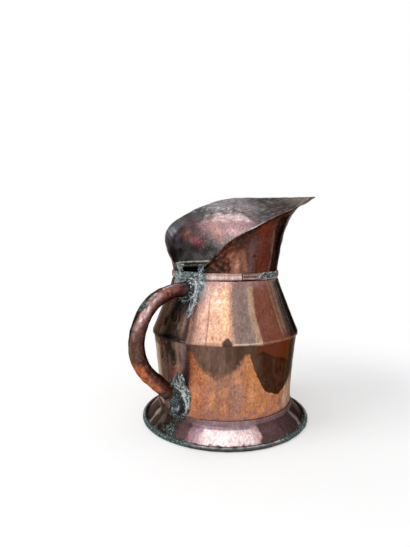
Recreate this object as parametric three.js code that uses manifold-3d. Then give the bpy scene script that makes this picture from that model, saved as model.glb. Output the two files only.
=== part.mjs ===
import * as THREE from 'three';
import { mergeVertices } from 'three/addons/utils/BufferGeometryUtils.js';
import Module from 'manifold-3d';

const wasm = await Module();
wasm.setup();

// Copper pitcher, in millimetres, +Z up. A flared foot, a tapering body, a conical shoulder, a banded
// neck, a scoop-shaped hood and a bent tube handle, cut from sheet, lapped and soldered together.
// On the body's own axis the spout points along +X and the handle along -X. The finished group stands
// on Z = 0 with the middle of its length over the origin.

// Sheet and joints
const SHEET = 1.1; // thickness of the copper
const GAP = 0.3; // room that nested pieces keep between them
const SIDES = 48; // flats round the body
const BEND_STEPS = 2; // flats round a small bend

// Foot
const FOOT_RADIUS = 106.2; // to the outside of the rolled edge
const WIRE_RADIUS = 1.25;
const ROLL_STEP = radians(30); // the edge is carried round its wire in flats of this angle
const ROLL_FLATS = 9;
const SKIRT_SLOPE = radians(45);
const SKIRT_FILLET = 5;
const SKIRT_TOP = 25;
const BODY_SWELL = 0.4; // how much wider the body is at the collar's top than at its own lower end

// Lower body
const BODY_BOTTOM = 12;
const BODY_FOOT_RADIUS = 83.4;
const BODY_WAIST = { radius: 84.4, height: 60 }; // pulls the wall in between foot and crease
const BODY_TOP_RADIUS = 90.8;
const BODY_TOP = 112.4;
const BODY_STEPS = 5;

// Bottom plate
const PLATE_HEIGHT = 20; // underside of the disc
const PLATE_BEND = 2.5;

// Shoulder
const LIP_BOTTOM = 110.4; // lower edge of the lap over the body's top
const CREASE_HEIGHT = 112.5;
const CREASE_BEND = 4;
const SHOULDER_LEAN = radians(21.6); // from the vertical
const SHOULDER_TOP = 176.5;
const LEDGE_TOP = 180.5;
const LEDGE_LEAVING = 2.2; // handles of the curve between cone and collar
const LEDGE_ARRIVING = 3;
const LEDGE_STEPS = 3;
const COLLAR_RADIUS = 64.1;
const COLLAR_TOP = 188.6;

// Neck band
const BAND_BOTTOM = 179.4;
const BAND_TOP = 188.2;
const BAND_DEPTH = 1.0;
const BAND_CROWN = 0.7;
const BAND_JOINT = radians(-125); // where the strip's two ends meet
const BAND_JOINT_GAP = 0.4;

// Hood. Its rim runs from the pouring tip down both sides to the notch over the handle; the sheet was
// bent by hand, so the two sides differ a little.
const HOOD_RADIUS = 65.5;
const HOOD_BOTTOM = 181;
const HOOD_BASE = 188;
const NOTCH_HALF_ANGLE = radians(14.7);
const RIM_TIP = [241, 0, 298];
const RIM_LEFT = [
  [236, 7, 297.5],
  [165, 39.4, 293],
  [97, 72.7, 288.1],
  [56, 88.3, 274.8],
  [16, 85.8, 260.4],
  [-25, 74.1, 244.2],
  [-55.8, 50.9, 224.1],
  [-68, 24.2, 196.5],
];
const RIM_RIGHT = [
  [236, -6, 296.8],
  [165, -32, 289.2],
  [97, -65, 282],
  [56, -84.8, 273.7],
  [16, -86, 261],
  [-25, -73.8, 244.8],
  [-55.8, -51.2, 224.6],
  [-68, -24.2, 196.5],
];
const HOOD_RIBS = 27; // ribs on each side of the spout's centre line
const HOOD_STEPS = 9; // steps up each rib

// Each rib is a curve that leaves the neck upright and arrives at the rim sloping. Both change from the
// spout, where along is 0, to the notch, where it is 1.
const RIB_LEAN = { spout: radians(3), notch: radians(13), from: 0.3, to: 0.6 };
const RIB_SLOPE = { spout: radians(25), notch: radians(80), from: 0.55, to: 1 };
const RIB_LEAVING = { ends: 0.38, middle: 0.53 }; // the curve's lower handle, as a part of its reach
const RIB_ARRIVING = 0.34; // and its upper handle

// Rolled strip inside the foot of the hood
const BEAD_RADIUS = 2;
const BEAD_BOTTOM = 189;
const BEAD_TOP = 196.8;
const BEAD_FLATS = 8; // flats round the bead
const BEAD_STEPS = 36; // steps along the strip

// Handle
const TUBE_RADIUS = 8.9;
const TUBE_SIDES = 12;
const TUBE_STEPS = 25; // steps along the handle
const HANDLE_LINE = [
  [66, 168.4],
  [98, 168],
  [126, 157.5],
  [142.5, 136],
  [146, 111.5],
  [136, 88],
  [117, 69.5],
  [80, 36],
];

// Solder. A mound is a stretched ball on the outer wall: [degrees round from the handle, height of its
// middle, deep, wide, high].
const UPPER_MOUNDS = [
  [0, 168, 10, 14, 14],
  [3, 152, 5, 9, 13],
  [13, 170, 4, 8, 12],
  [-12, 171, 4, 7, 10],
  [-11, 183.4, 3, 7, 4],
  [-3, 183.8, 3, 7, 4],
  [6, 183.6, 3.2, 7, 4.2],
  [13.5, 183.2, 3, 6.5, 4],
];
const LOWER_MOUNDS = [
  [0, 47, 6, 13.5, 21],
  [5, 60, 3.2, 8, 10],
  [-4, 34, 3, 9, 8],
];
const MOUND_SIDES = 12;
const MOUND_RINGS = 7;

// Solder patch over the neck band
const PATCH_FROM = radians(-107);
const PATCH_TO = radians(-76);
const PATCH_HALF_HEIGHT = 5.2;
const PATCH_END = 0.35; // height of its blunt ends, as a part of its greatest height
const PATCH_EDGE = 0.3;
const PATCH_CROWN = 1.4; // how far its middle stands proud of its edge
const PATCH_STEPS = 12;
const PATCH_ROWS = 6;

// Solder on the hood's two ends at the notch
const END_RADIUS = 66.5;
const END_HEIGHT = 193.5;
const END_SIZE = [3.4, 3.2, 5]; // deep, wide, high

function radians(degrees) {
  return (degrees * Math.PI) / 180;
}

// Profiles. A profile point is (radius, height).

function point(radius, height) {
  return new THREE.Vector2(radius, height);
}

function arc(centreRadius, centreHeight, radius, from, to, steps) {
  const points = [];
  for (let i = 0; i <= steps; i += 1) {
    const angle = from + ((to - from) * i) / steps;
    points.push(point(centreRadius + radius * Math.cos(angle), centreHeight + radius * Math.sin(angle)));
  }
  return points;
}

// The line moved sideways: positive is to its right.
function beside(line, distance) {
  return line.map((here, i) => {
    const before = line[Math.max(i - 1, 0)];
    const after = line[Math.min(i + 1, line.length - 1)];
    const arriving = here.clone().sub(before).normalize();
    const leaving = after.clone().sub(here).normalize();
    const along = arriving.add(leaving).normalize();
    const straight = i > 0 ? here.clone().sub(before).normalize() : along;
    const mitre = 1 / Math.max(along.dot(straight), 0.5);
    return point(here.x + along.y * distance * mitre, here.y - along.x * distance * mitre);
  });
}

// The closed section of a sheet whose middle runs along the line.
function sheetSection(line, thickness = SHEET) {
  return [...beside(line, thickness / 2), ...beside(line, -thickness / 2).reverse()];
}

// Turns a closed section all the way round the body's axis.
function turned(section, sides = SIDES) {
  const points = THREE.ShapeUtils.area(section) > 0 ? [...section] : [...section].reverse();
  if (points[0].x > 0 || points[points.length - 1].x > 0) {
    points.push(points[0].clone());
  }
  return new THREE.LatheGeometry(points, sides).rotateX(Math.PI / 2);
}

// A closed skin between two grids of points, front and back, each grid[i][j].
function slab(front, back) {
  const columns = front.length;
  const rows = front[0].length;
  const positions = [...front.flat(), ...back.flat()].flatMap((p) => [p.x, p.y, p.z]);
  const index = [];
  const at = (side, i, j) => (side * columns + i) * rows + j;
  const quad = (a, b, c, d) => index.push(a, b, c, a, c, d);
  for (let i = 0; i < columns - 1; i += 1) {
    for (let j = 0; j < rows - 1; j += 1) {
      quad(at(0, i, j), at(0, i + 1, j), at(0, i + 1, j + 1), at(0, i, j + 1));
      quad(at(1, i, j), at(1, i, j + 1), at(1, i + 1, j + 1), at(1, i + 1, j));
    }
    quad(at(1, i, 0), at(1, i + 1, 0), at(0, i + 1, 0), at(0, i, 0));
    quad(at(0, i, rows - 1), at(0, i + 1, rows - 1), at(1, i + 1, rows - 1), at(1, i, rows - 1));
  }
  for (let j = 0; j < rows - 1; j += 1) {
    quad(at(0, 0, j), at(0, 0, j + 1), at(1, 0, j + 1), at(1, 0, j));
    quad(at(1, columns - 1, j), at(1, columns - 1, j + 1), at(0, columns - 1, j + 1), at(0, columns - 1, j));
  }
  const geometry = new THREE.BufferGeometry();
  geometry.setAttribute('position', new THREE.Float32BufferAttribute(positions, 3));
  geometry.setIndex(index);
  geometry.computeVertexNormals();
  return geometry;
}

// Part of a turn: the section carried from one angle to another, with flat ends.
function partTurned(section, from, to, steps) {
  const points = THREE.ShapeUtils.area(section) > 0 ? section : [...section].reverse();
  const positions = [];
  for (let i = 0; i <= steps; i += 1) {
    const angle = from + ((to - from) * i) / steps;
    for (const p of points) {
      positions.push(p.x * Math.cos(angle), p.x * Math.sin(angle), p.y);
    }
  }
  const count = points.length;
  const index = [];
  for (let i = 0; i < steps; i += 1) {
    for (let j = 0; j < count; j += 1) {
      const next = (j + 1) % count;
      const here = i * count;
      const there = here + count;
      index.push(here + j, there + j, there + next, here + j, there + next, here + next);
    }
  }
  for (const [a, b, c] of THREE.ShapeUtils.triangulateShape(points, [])) {
    index.push(a, b, c);
    index.push(steps * count + a, steps * count + c, steps * count + b);
  }
  const geometry = new THREE.BufferGeometry();
  geometry.setAttribute('position', new THREE.Float32BufferAttribute(positions, 3));
  geometry.setIndex(index);
  geometry.computeVertexNormals();
  return geometry;
}

// Cuts and joins on closed meshes
function solid(geometry) {
  const bare = geometry.clone();
  bare.deleteAttribute('normal');
  bare.deleteAttribute('uv');
  bare.clearGroups();
  const merged = mergeVertices(bare, 1e-4);
  const vertProperties = new Float32Array(merged.attributes.position.array);
  const triVerts = new Uint32Array(merged.index.array);
  return new wasm.Manifold(new wasm.Mesh({ numProp: 3, vertProperties, triVerts }));
}

function geometryOf(body) {
  const mesh = body.getMesh();
  const geometry = new THREE.BufferGeometry();
  geometry.setAttribute('position', new THREE.Float32BufferAttribute(mesh.vertProperties, 3));
  geometry.setIndex(new THREE.Uint32BufferAttribute(mesh.triVerts, 1));
  geometry.computeVertexNormals();
  return geometry;
}

// Lower body: one curved wall, open at both ends.
function bodyLine() {
  const foot = point(BODY_FOOT_RADIUS - SHEET / 2, BODY_BOTTOM);
  const waist = point(BODY_WAIST.radius - SHEET / 2, BODY_WAIST.height);
  const top = point(BODY_TOP_RADIUS - SHEET / 2, BODY_TOP);
  return new THREE.QuadraticBezierCurve(foot, waist, top).getPoints(BODY_STEPS);
}

// Bottom plate: a flat disc whose edge is turned down into a flange inside the body's lower end.
function plateSection() {
  const outer = BODY_FOOT_RADIUS - SHEET - GAP;
  const centre = point(outer - PLATE_BEND, PLATE_HEIGHT + SHEET - PLATE_BEND);
  const bend = arc(centre.x, centre.y, PLATE_BEND, Math.PI / 2, 0, BEND_STEPS);
  const underBend = arc(centre.x, centre.y, PLATE_BEND - SHEET, 0, Math.PI / 2, BEND_STEPS);
  return [
    point(0, PLATE_HEIGHT + SHEET),
    ...bend,
    point(outer, BODY_BOTTOM),
    point(outer - SHEET, BODY_BOTTOM),
    ...underBend,
    point(0, PLATE_HEIGHT),
  ];
}

// Foot skirt: a collar round the body, a straight flare, and an edge carried round under and over a wire.
function skirtLine() {
  const collar = BODY_FOOT_RADIUS + BODY_SWELL + GAP + SHEET / 2;
  const roll = WIRE_RADIUS + GAP + SHEET / 2;
  const centre = point(FOOT_RADIUS - roll - SHEET / 2, roll + SHEET / 2);
  const start = Math.PI + SKIRT_SLOPE;
  const edge = arc(centre.x, centre.y, roll, start, start + ROLL_FLATS * ROLL_STEP, ROLL_FLATS);
  const reach = SKIRT_FILLET * Math.tan(SKIRT_SLOPE / 2);
  const cornerHeight = edge[0].y + (edge[0].x - collar) * Math.tan(SKIRT_SLOPE);
  const fillet = arc(collar + SKIRT_FILLET, cornerHeight + reach, SKIRT_FILLET, Math.PI, start, BEND_STEPS);
  return [point(collar, SKIRT_TOP), ...fillet, ...edge];
}

function wireCentre() {
  const out = WIRE_RADIUS + GAP + SHEET;
  return point(FOOT_RADIUS - out, out);
}

// Shoulder: lap, crease, straight cone, a small ledge under the band, and a collar.
function shoulderLine() {
  const lap = BODY_TOP_RADIUS + GAP + SHEET / 2;
  const crease = arc(lap - CREASE_BEND, CREASE_HEIGHT, CREASE_BEND, 0, SHOULDER_LEAN, BEND_STEPS);
  const low = crease[BEND_STEPS];
  const rise = point(-Math.sin(SHOULDER_LEAN), Math.cos(SHOULDER_LEAN));
  const high = low.clone().addScaledVector(rise, (SHOULDER_TOP - low.y) / rise.y);
  const collar = COLLAR_RADIUS - SHEET / 2;
  const ledge = new THREE.CubicBezierCurve(
    high,
    high.clone().addScaledVector(rise, LEDGE_LEAVING),
    point(collar, LEDGE_TOP - LEDGE_ARRIVING),
    point(collar, LEDGE_TOP),
  );
  return [point(lap, LIP_BOTTOM), ...crease, ...ledge.getPoints(LEDGE_STEPS), point(collar, COLLAR_TOP)];
}

// Neck band: a flat-backed strip with a crowned face, bent to a ring.
function bandSection() {
  const back = HOOD_RADIUS + GAP;
  const middle = (BAND_TOP + BAND_BOTTOM) / 2;
  const half = (BAND_TOP - BAND_BOTTOM) / 2;
  const points = [point(back, BAND_BOTTOM)];
  for (const across of [-1, -0.5, 0, 0.5, 1]) {
    points.push(point(back + BAND_DEPTH + BAND_CROWN * (1 - across * across), middle + half * across));
  }
  points.push(point(back, BAND_TOP));
  return points;
}

// A value that passes smoothly from its spout end to its notch end.
function changing({ spout, notch, from, to }, along) {
  return THREE.MathUtils.lerp(spout, notch, THREE.MathUtils.smoothstep(along, from, to));
}

// Hood: ribs rise from a circle on the neck and flare to the rim. side is 1 on the left, -1 on the right.
function hoodRib(rimPoint, along, side) {
  const angle = side * along * (Math.PI - NOTCH_HALF_ANGLE);
  const outward = new THREE.Vector3(Math.cos(angle), Math.sin(angle), 0);
  const up = new THREE.Vector3(0, 0, 1);
  const middle = HOOD_RADIUS - SHEET / 2;
  const base = outward.clone().multiplyScalar(middle).addScaledVector(up, HOOD_BASE);
  const reach = rimPoint.distanceTo(base);
  const level = rimPoint.clone().sub(base).setZ(0).normalize();
  const lean = changing(RIB_LEAN, along);
  const slope = changing(RIB_SLOPE, along);
  const start = reach * THREE.MathUtils.lerp(RIB_LEAVING.ends, RIB_LEAVING.middle, Math.sin(Math.PI * along));
  const leaving = base.clone();
  leaving.addScaledVector(outward, start * Math.sin(lean)).addScaledVector(up, start * Math.cos(lean));
  const end = reach * RIB_ARRIVING;
  const arriving = rimPoint.clone();
  arriving.addScaledVector(level, -end * Math.cos(slope)).addScaledVector(up, -end * Math.sin(slope));
  const foot = outward.clone().multiplyScalar(middle).addScaledVector(up, HOOD_BOTTOM);
  return [foot, ...new THREE.CubicBezierCurve3(base, leaving, arriving, rimPoint).getPoints(HOOD_STEPS)];
}

function hoodGrid() {
  const through = [...[...RIM_RIGHT].reverse(), RIM_TIP, ...RIM_LEFT];
  const rim = new THREE.CatmullRomCurve3(through.map((p) => new THREE.Vector3(...p)), false, 'centripetal');
  const lengths = rim.getLengths();
  const tip = lengths[(lengths.length - 1) / 2] / lengths[lengths.length - 1];
  const grid = [];
  for (let i = -HOOD_RIBS; i <= HOOD_RIBS; i += 1) {
    const share = i < 0 ? tip : 1 - tip;
    const onRim = rim.getPointAt(tip + (share * i) / HOOD_RIBS);
    grid.push(hoodRib(onRim, Math.abs(i) / HOOD_RIBS, Math.sign(i)));
  }
  return grid;
}

// Moves a grid along its own normals, outward for a positive distance.
function offsetGrid(grid, distance) {
  return grid.map((rib, i) =>
    rib.map((here, j) => {
      const next = grid[Math.min(i + 1, grid.length - 1)][j];
      const previous = grid[Math.max(i - 1, 0)][j];
      const above = rib[Math.min(j + 1, rib.length - 1)];
      const below = rib[Math.max(j - 1, 0)];
      const around = next.clone().sub(previous);
      const normal = around.cross(above.clone().sub(below)).normalize();
      return here.clone().addScaledVector(normal, distance);
    }),
  );
}

// The rib moved away from its neighbour.
function widened(rib, neighbour, distance) {
  return rib.map((p, j) => p.clone().addScaledVector(p.clone().sub(neighbour[j]).normalize(), distance));
}

function hood(extra = 0) {
  const grid = hoodGrid();
  const last = grid.length - 1;
  grid[0] = widened(grid[0], grid[1], extra);
  grid[last] = widened(grid[last], grid[last - 1], extra);
  return slab(offsetGrid(grid, SHEET / 2 + extra), offsetGrid(grid, -SHEET / 2 - extra));
}

// Rolled strip: a flat web with a round bead along its top, open at the notch.
function beadSection() {
  const outer = HOOD_RADIUS - SHEET - GAP;
  const inner = outer - SHEET;
  const centre = point(outer - BEAD_RADIUS, BEAD_TOP - BEAD_RADIUS);
  const meets = Math.asin((inner - centre.x) / BEAD_RADIUS);
  const bead = arc(centre.x, centre.y, BEAD_RADIUS, 0, 1.5 * Math.PI + meets, BEAD_FLATS);
  return [point(inner, BEAD_BOTTOM), point(outer, BEAD_BOTTOM), ...bead];
}

// Handle: a round tube along a D-shaped line, its ends cut to the body they are soldered to.
function handleCurve() {
  const points = HANDLE_LINE.map(([reach, height]) => new THREE.Vector3(-reach, 0, height));
  return new THREE.CatmullRomCurve3(points, false, 'centripetal');
}

function circle(radius, sides) {
  const points = [];
  for (let i = 0; i < sides; i += 1) {
    const angle = (2 * Math.PI * i) / sides;
    points.push(point(radius * Math.cos(angle), radius * Math.sin(angle)));
  }
  return points;
}

function tube(outer, inner) {
  const shape = new THREE.Shape(circle(outer, TUBE_SIDES));
  if (inner) {
    shape.holes.push(new THREE.Path(circle(inner, TUBE_SIDES).reverse()));
  }
  return new THREE.ExtrudeGeometry(shape, { steps: TUBE_STEPS, extrudePath: handleCurve() });
}

// Everything inside the outer walls of body, shoulder and band, grown by a gap.
function envelope(gap) {
  const body = beside(bodyLine(), SHEET / 2 + gap);
  const shoulder = beside(shoulderLine(), SHEET / 2 + gap).filter((p) => p.y < BAND_BOTTOM - SHEET);
  const skirt = BODY_FOOT_RADIUS + BODY_SWELL + GAP + SHEET + gap;
  const band = HOOD_RADIUS + GAP + BAND_DEPTH + BAND_CROWN + gap;
  const outline = [
    point(0, 0),
    point(skirt, 0),
    point(skirt, SKIRT_TOP + gap),
    ...body.filter((p) => p.y > SKIRT_TOP + gap && p.y < LIP_BOTTOM - SHEET),
    point(shoulder[0].x, LIP_BOTTOM - gap),
    ...shoulder,
    point(band, BAND_BOTTOM - gap),
    point(band, BAND_TOP + gap),
    point(0, BAND_TOP + gap),
  ];
  return solid(turned(outline));
}

function handleTube() {
  return geometryOf(solid(tube(TUBE_RADIUS, TUBE_RADIUS - SHEET)).subtract(envelope(GAP)));
}

// Radius of the outer wall at a height
function outside(height) {
  if (height > BAND_BOTTOM) {
    return HOOD_RADIUS + GAP + BAND_DEPTH;
  }
  const wall = beside(height > CREASE_HEIGHT ? shoulderLine() : bodyLine(), SHEET / 2);
  const above = wall.findIndex((p) => p.y > height);
  const part = (height - wall[above - 1].y) / (wall[above].y - wall[above - 1].y);
  return THREE.MathUtils.lerp(wall[above - 1].x, wall[above].x, part);
}

function mound(x, y, z, deep, wide, high) {
  const ball = new THREE.SphereGeometry(1, MOUND_SIDES, MOUND_RINGS).scale(deep, wide, high);
  return ball.translate(x, y, z);
}

// Mounds melted together, cut to the body and to the handle that runs through them
function crust(mounds) {
  const balls = mounds.map(([degrees, height, deep, wide, high]) =>
    solid(mound(-outside(height), 0, height, deep, wide, high).rotateZ(radians(degrees))),
  );
  const melted = balls.reduce((all, ball) => all.add(ball));
  return geometryOf(melted.subtract(envelope(GAP)).subtract(solid(tube(TUBE_RADIUS + GAP, 0))));
}

// Thick in the middle, feathered to its edges
function neckPatch() {
  const back = [];
  const front = [];
  const inner = HOOD_RADIUS + GAP + BAND_DEPTH + BAND_CROWN + GAP;
  for (let i = 0; i <= PATCH_STEPS; i += 1) {
    const around = (2 * i) / PATCH_STEPS - 1;
    const angle = PATCH_FROM + ((PATCH_TO - PATCH_FROM) * i) / PATCH_STEPS;
    const high = PATCH_HALF_HEIGHT * Math.max(Math.sqrt(1 - around ** 2), PATCH_END);
    const backRib = [];
    const frontRib = [];
    for (let j = 0; j <= PATCH_ROWS; j += 1) {
      const across = (2 * j) / PATCH_ROWS - 1;
      const height = (BAND_TOP + BAND_BOTTOM) / 2 + high * across;
      const swell = PATCH_CROWN * Math.sqrt((1 - across ** 2) * (1 - around ** 2));
      const face = inner + PATCH_EDGE + swell;
      backRib.push(new THREE.Vector3(inner * Math.cos(angle), inner * Math.sin(angle), height));
      frontRib.push(new THREE.Vector3(face * Math.cos(angle), face * Math.sin(angle), height));
    }
    back.push(backRib);
    front.push(frontRib);
  }
  return slab(front, back);
}

// side is 1 on the left, -1 on the right
function hoodEndSolder(side) {
  const angle = side * (Math.PI - NOTCH_HALF_ANGLE);
  const clear = HOOD_RADIUS - SHEET;
  const ceiling = END_HEIGHT + 2 * END_SIZE[2];
  const mouth = [point(0, BAND_TOP), point(clear, BAND_TOP), point(clear, ceiling), point(0, ceiling)];
  const blob = mound(END_RADIUS * Math.cos(angle), END_RADIUS * Math.sin(angle), END_HEIGHT, ...END_SIZE);
  const cut = solid(blob).subtract(solid(hood(GAP))).subtract(envelope(GAP)).subtract(solid(turned(mouth)));
  return geometryOf(cut);
}

// Finishes
function metal(color, roughness, metalness = 1) {
  return new THREE.MeshStandardMaterial({ color, roughness, metalness });
}
const orangeCopper = metal('#b5673f', 0.32);
const peachCopper = metal('#c98a68', 0.3);
const darkCopper = metal('#6b4036', 0.38);
const footCopper = metal('#8d5a52', 0.35);
const handleCopper = metal('#8a4a35', 0.4);
const paleMetal = metal('#a9b3a2', 0.5);
const solder = metal('#5f6f70', 0.65, 0.7);
const iron = metal('#4a4340', 0.7);

// Assembly, about the body's axis
const pieces = [
  ['lower_body', turned(sheetSection(bodyLine())), orangeCopper],
  ['shoulder_cone', turned(sheetSection(shoulderLine())), peachCopper],
  ['base_plate', turned(plateSection()), orangeCopper],
  ['foot_skirt', turned(sheetSection(skirtLine())), footCopper],
  ['foot_wire', wire(), iron],
  ['neck_band', band(), peachCopper],
  ['spout_hood', hood(), darkCopper],
  ['inner_bead', bead(), paleMetal],
  ['handle_tube', handleTube(), handleCopper],
  ['upper_handle_solder', crust(UPPER_MOUNDS), solder],
  ['lower_handle_solder', crust(LOWER_MOUNDS), solder],
  ['neck_solder_patch', neckPatch(), solder],
  ['hood_end_solder_left', hoodEndSolder(1), solder],
  ['hood_end_solder_right', hoodEndSolder(-1), solder],
];

function wire() {
  const centre = wireCentre();
  return new THREE.TorusGeometry(centre.x, WIRE_RADIUS, 6, SIDES).translate(0, 0, centre.y);
}

function bead() {
  const end = Math.PI - NOTCH_HALF_ANGLE;
  return partTurned(beadSection(), -end, end, BEAD_STEPS);
}

function band() {
  const gap = BAND_JOINT_GAP / HOOD_RADIUS;
  return partTurned(bandSection(), BAND_JOINT + gap / 2, BAND_JOINT - gap / 2 + 2 * Math.PI, SIDES);
}

const assembly = new THREE.Group();
for (const [name, geometry, material] of pieces) {
  const mesh = new THREE.Mesh(geometry, material);
  mesh.name = name;
  assembly.add(mesh);
}

// The pitcher stands on Z = 0 with the middle of its length over the origin.
const box = new THREE.Box3().setFromObject(assembly);
assembly.position.set(-(box.min.x + box.max.x) / 2, 0, -box.min.z);

const pitcher = new THREE.Group();
pitcher.add(assembly);

export default pitcher;
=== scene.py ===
"""Copper pitcher: a flared foot, a tapering body, a conical shoulder, a banded neck, a scoop-shaped hood
and a bent tube handle, in old copper with brown patina, and with crusts of solder at its joints.

Every piece is a surface of two parameters on a grid, in millimetres about the body's upright axis. Angles
are in degrees round that axis: 0 is under the pouring tip, 90 the +Y side, 180 the handle."""

import bpy
import numpy as np
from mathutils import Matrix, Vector

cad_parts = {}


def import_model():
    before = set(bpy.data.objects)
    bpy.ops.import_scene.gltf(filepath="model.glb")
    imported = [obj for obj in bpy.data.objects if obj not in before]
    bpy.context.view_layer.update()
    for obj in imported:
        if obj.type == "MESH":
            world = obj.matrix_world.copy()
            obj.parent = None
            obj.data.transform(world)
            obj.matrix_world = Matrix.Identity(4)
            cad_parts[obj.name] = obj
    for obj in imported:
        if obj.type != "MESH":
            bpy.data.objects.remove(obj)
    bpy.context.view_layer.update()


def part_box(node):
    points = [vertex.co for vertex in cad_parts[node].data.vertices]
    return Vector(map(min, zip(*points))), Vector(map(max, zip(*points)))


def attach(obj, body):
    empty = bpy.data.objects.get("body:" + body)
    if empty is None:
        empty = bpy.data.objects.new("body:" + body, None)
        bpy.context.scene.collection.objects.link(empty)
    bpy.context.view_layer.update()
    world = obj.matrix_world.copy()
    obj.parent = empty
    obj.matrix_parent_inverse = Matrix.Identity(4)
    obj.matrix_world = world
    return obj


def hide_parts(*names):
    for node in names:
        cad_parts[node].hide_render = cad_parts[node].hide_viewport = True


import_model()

MM = 0.001


def cad(node):
    """Lowest and highest corner of a CAD node in millimetres."""
    low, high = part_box(node)
    return np.array(low) / MM, np.array(high) / MM


# What the frame gives
BODY_LOW, BODY_HIGH = cad("lower_body")
AXIS = (BODY_LOW[0] + BODY_HIGH[0]) / 2
BODY_BOTTOM, BODY_TOP = BODY_LOW[2], BODY_HIGH[2]
BODY_TOP_RADIUS = BODY_HIGH[1]
FOOT_RADIUS = cad("foot_skirt")[1][1]
SKIRT_TOP = cad("foot_skirt")[1][2]
LIP_BOTTOM, COLLAR_TOP = cad("shoulder_cone")[0][2], cad("shoulder_cone")[1][2]
BAND_BOTTOM, BAND_TOP = cad("neck_band")[0][2], cad("neck_band")[1][2]
HOOD_BOTTOM, TIP_HEIGHT = cad("spout_hood")[0][2], cad("spout_hood")[1][2]
TIP_REACH = cad("spout_hood")[1][0] - AXIS

# Sheet and joints
SHEET = 1.1
GAP = 0.3

# Foot
WIRE_RADIUS = 1.25
SKIRT_SLOPE = np.radians(45)
SKIRT_FILLET = 5
SKIRT_ROOM = 0.45 # between the body's foot and the skirt's collar
SKIRT_SEAT = 0.7 # the same for a crust's lower end, which stands a little off the collar
ROLL_TURN = np.radians(270)

# Lower body and bottom plate
BODY_FOOT_RADIUS = 83.4
BODY_WAIST = (84.4, 60)
PLATE_HEIGHT = 20
PLATE_BEND = 2.5
POLE = 0.3 # radius of the small round border at the middle of a turned disc

# Shoulder and neck
CREASE_HEIGHT = 112.5
CREASE_BEND = 4
SHOULDER_LEAN = np.radians(21.6)
SHOULDER_TOP = 176.5
DENT_RADIUS = 86 # of the cylinder on which the dents of body and shoulder are laid out
COLLAR_RADIUS = 64.1
LEDGE_ROOM = 0.06 # between the ledge and the neck band
BAND_DEPTH = 1.0
BAND_CROWN = 0.7
BAND_MIDDLE = (BAND_BOTTOM + BAND_TOP) / 2
BAND_JOINT = -125
BAND_JOINT_GAP = 0.4

# Hood. Its rim runs from the pouring tip down both sides to the notch over the handle.
HOOD_RADIUS = 65.5
HOOD_BASE = 188
NOTCH_HALF_ANGLE = 14.7
RIM_TIP = np.array([TIP_REACH, 0, TIP_HEIGHT - 0.4])
RIM_LEFT = np.array([
    (236, 7, 297.5),
    (165, 39.4, 293),
    (97, 72.7, 288.1),
    (56, 88.3, 274.8),
    (16, 85.8, 260.4),
    (-25, 74.1, 244.2),
    (-55.8, 50.9, 224.1),
    (-68, 24.2, 196.5),
])
RIM_RIGHT = np.array([
    (236, -6, 296.8),
    (165, -32, 289.2),
    (97, -65, 282),
    (56, -84.8, 273.7),
    (16, -86, 261),
    (-25, -73.8, 244.8),
    (-55.8, -51.2, 224.6),
    (-68, -24.2, 196.5),
])
RIM_HOLD = 0.34 # length of a rib's last handle, as a share of its reach
HOOD_RUN = 430 # length round the hood over which its ribs are spaced
WRINKLE_ANGLE = 217
WRINKLE_RATE = 70 # degrees of the wrinkles' wave to a degree round the neck

# Rolled strip inside the hood's foot
BEAD_RADIUS = 2
BEAD_BOTTOM = 189
BEAD_TOP = 196.8

# Handle: its middle line as (reach, height), away from the spout
TUBE_RADIUS = 8.9
FINE_PATH, COARSE_PATH = 900, 240 # places along the middle line
HANDLE_LINE = np.array([
    (66, 168.4),
    (98, 168),
    (126, 157.5),
    (142.5, 136),
    (146, 111.5),
    (136, 88),
    (117, 69.5),
    (80, 36),
])

# Solder. Outside its outline a crust's face is sunk in the wall, and its back lies deeper everywhere.
CRUST_SUNK = 0.5
CRUST_BACK = 0.8
END_LUMP_PLACE = (66.4, 193.0) # radius and height of its middle
END_LUMP_HALF = (4.4, 5.4, 2.9) # half its width, height and depth

UP = np.array([0.0, 0.0, 1.0])
ROUND = np.arange(384) * 360 / 384 # angles of a turned sheet's columns


# Small formulas


def smooth(x, low, high):
    """Smooth step: 0 up to low, 1 from high on, cubic between."""
    t = np.clip((x - low) / (high - low), 0, 1)
    return t * t * (3 - 2 * t)


def between(x, low, rise, fall, high):
    """Smooth step up from low to rise and down again from fall to high: 1 between them and 0 outside."""
    return smooth(x, low, rise) * smooth(x, high, fall)


def mix(a, b, share):
    """a where share is 0 and b where it is 1. A colour's share has one number for its three."""
    return a + (b - a) * share


def bell(x, centre, width):
    """Gaussian bell of height 1."""
    return np.exp(-(((x - centre) / width) ** 2))


def turn(angle):
    """Degrees brought into -180 to 180."""
    return (angle + 180) % 360 - 180


def apart(angle, middle):
    """Degrees between two directions, whichever way is shorter."""
    return np.abs(turn(angle - middle))


def toward(angle, middle, width):
    """Bell of height 1 over the angles about a direction."""
    return bell(apart(angle, middle), 0, width)


def outward(angle):
    """Level unit vectors that point away from the axis."""
    a = np.radians(angle)
    return np.stack([np.cos(a), np.sin(a), 0 * a], axis=-1)


def lumps(points, size, seed):
    """Random field about -1 to 1: cosine waves of about that length in all directions, added together."""
    waves = 28
    dice = np.random.default_rng(seed)
    way = dice.normal(size=(waves, 3))
    way /= np.linalg.norm(way, axis=1, keepdims=True)
    way *= 2 * np.pi / (size * dice.uniform(0.75, 1.35, (waves, 1)))
    phase = dice.uniform(0, 2 * np.pi, waves)
    total = np.zeros(points.shape[:-1])
    for k, shift in zip(way, phase):
        total += np.cos(points @ k + shift)
    return total / np.sqrt(waves)


def colour(code):
    """The linear colour of a hexadecimal sRGB code."""
    c = np.array([int(code[i : i + 2], 16) for i in (0, 2, 4)]) / 255
    return np.where(c <= 0.04045, c / 12.92, ((c + 0.055) / 1.055) ** 2.4)


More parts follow.
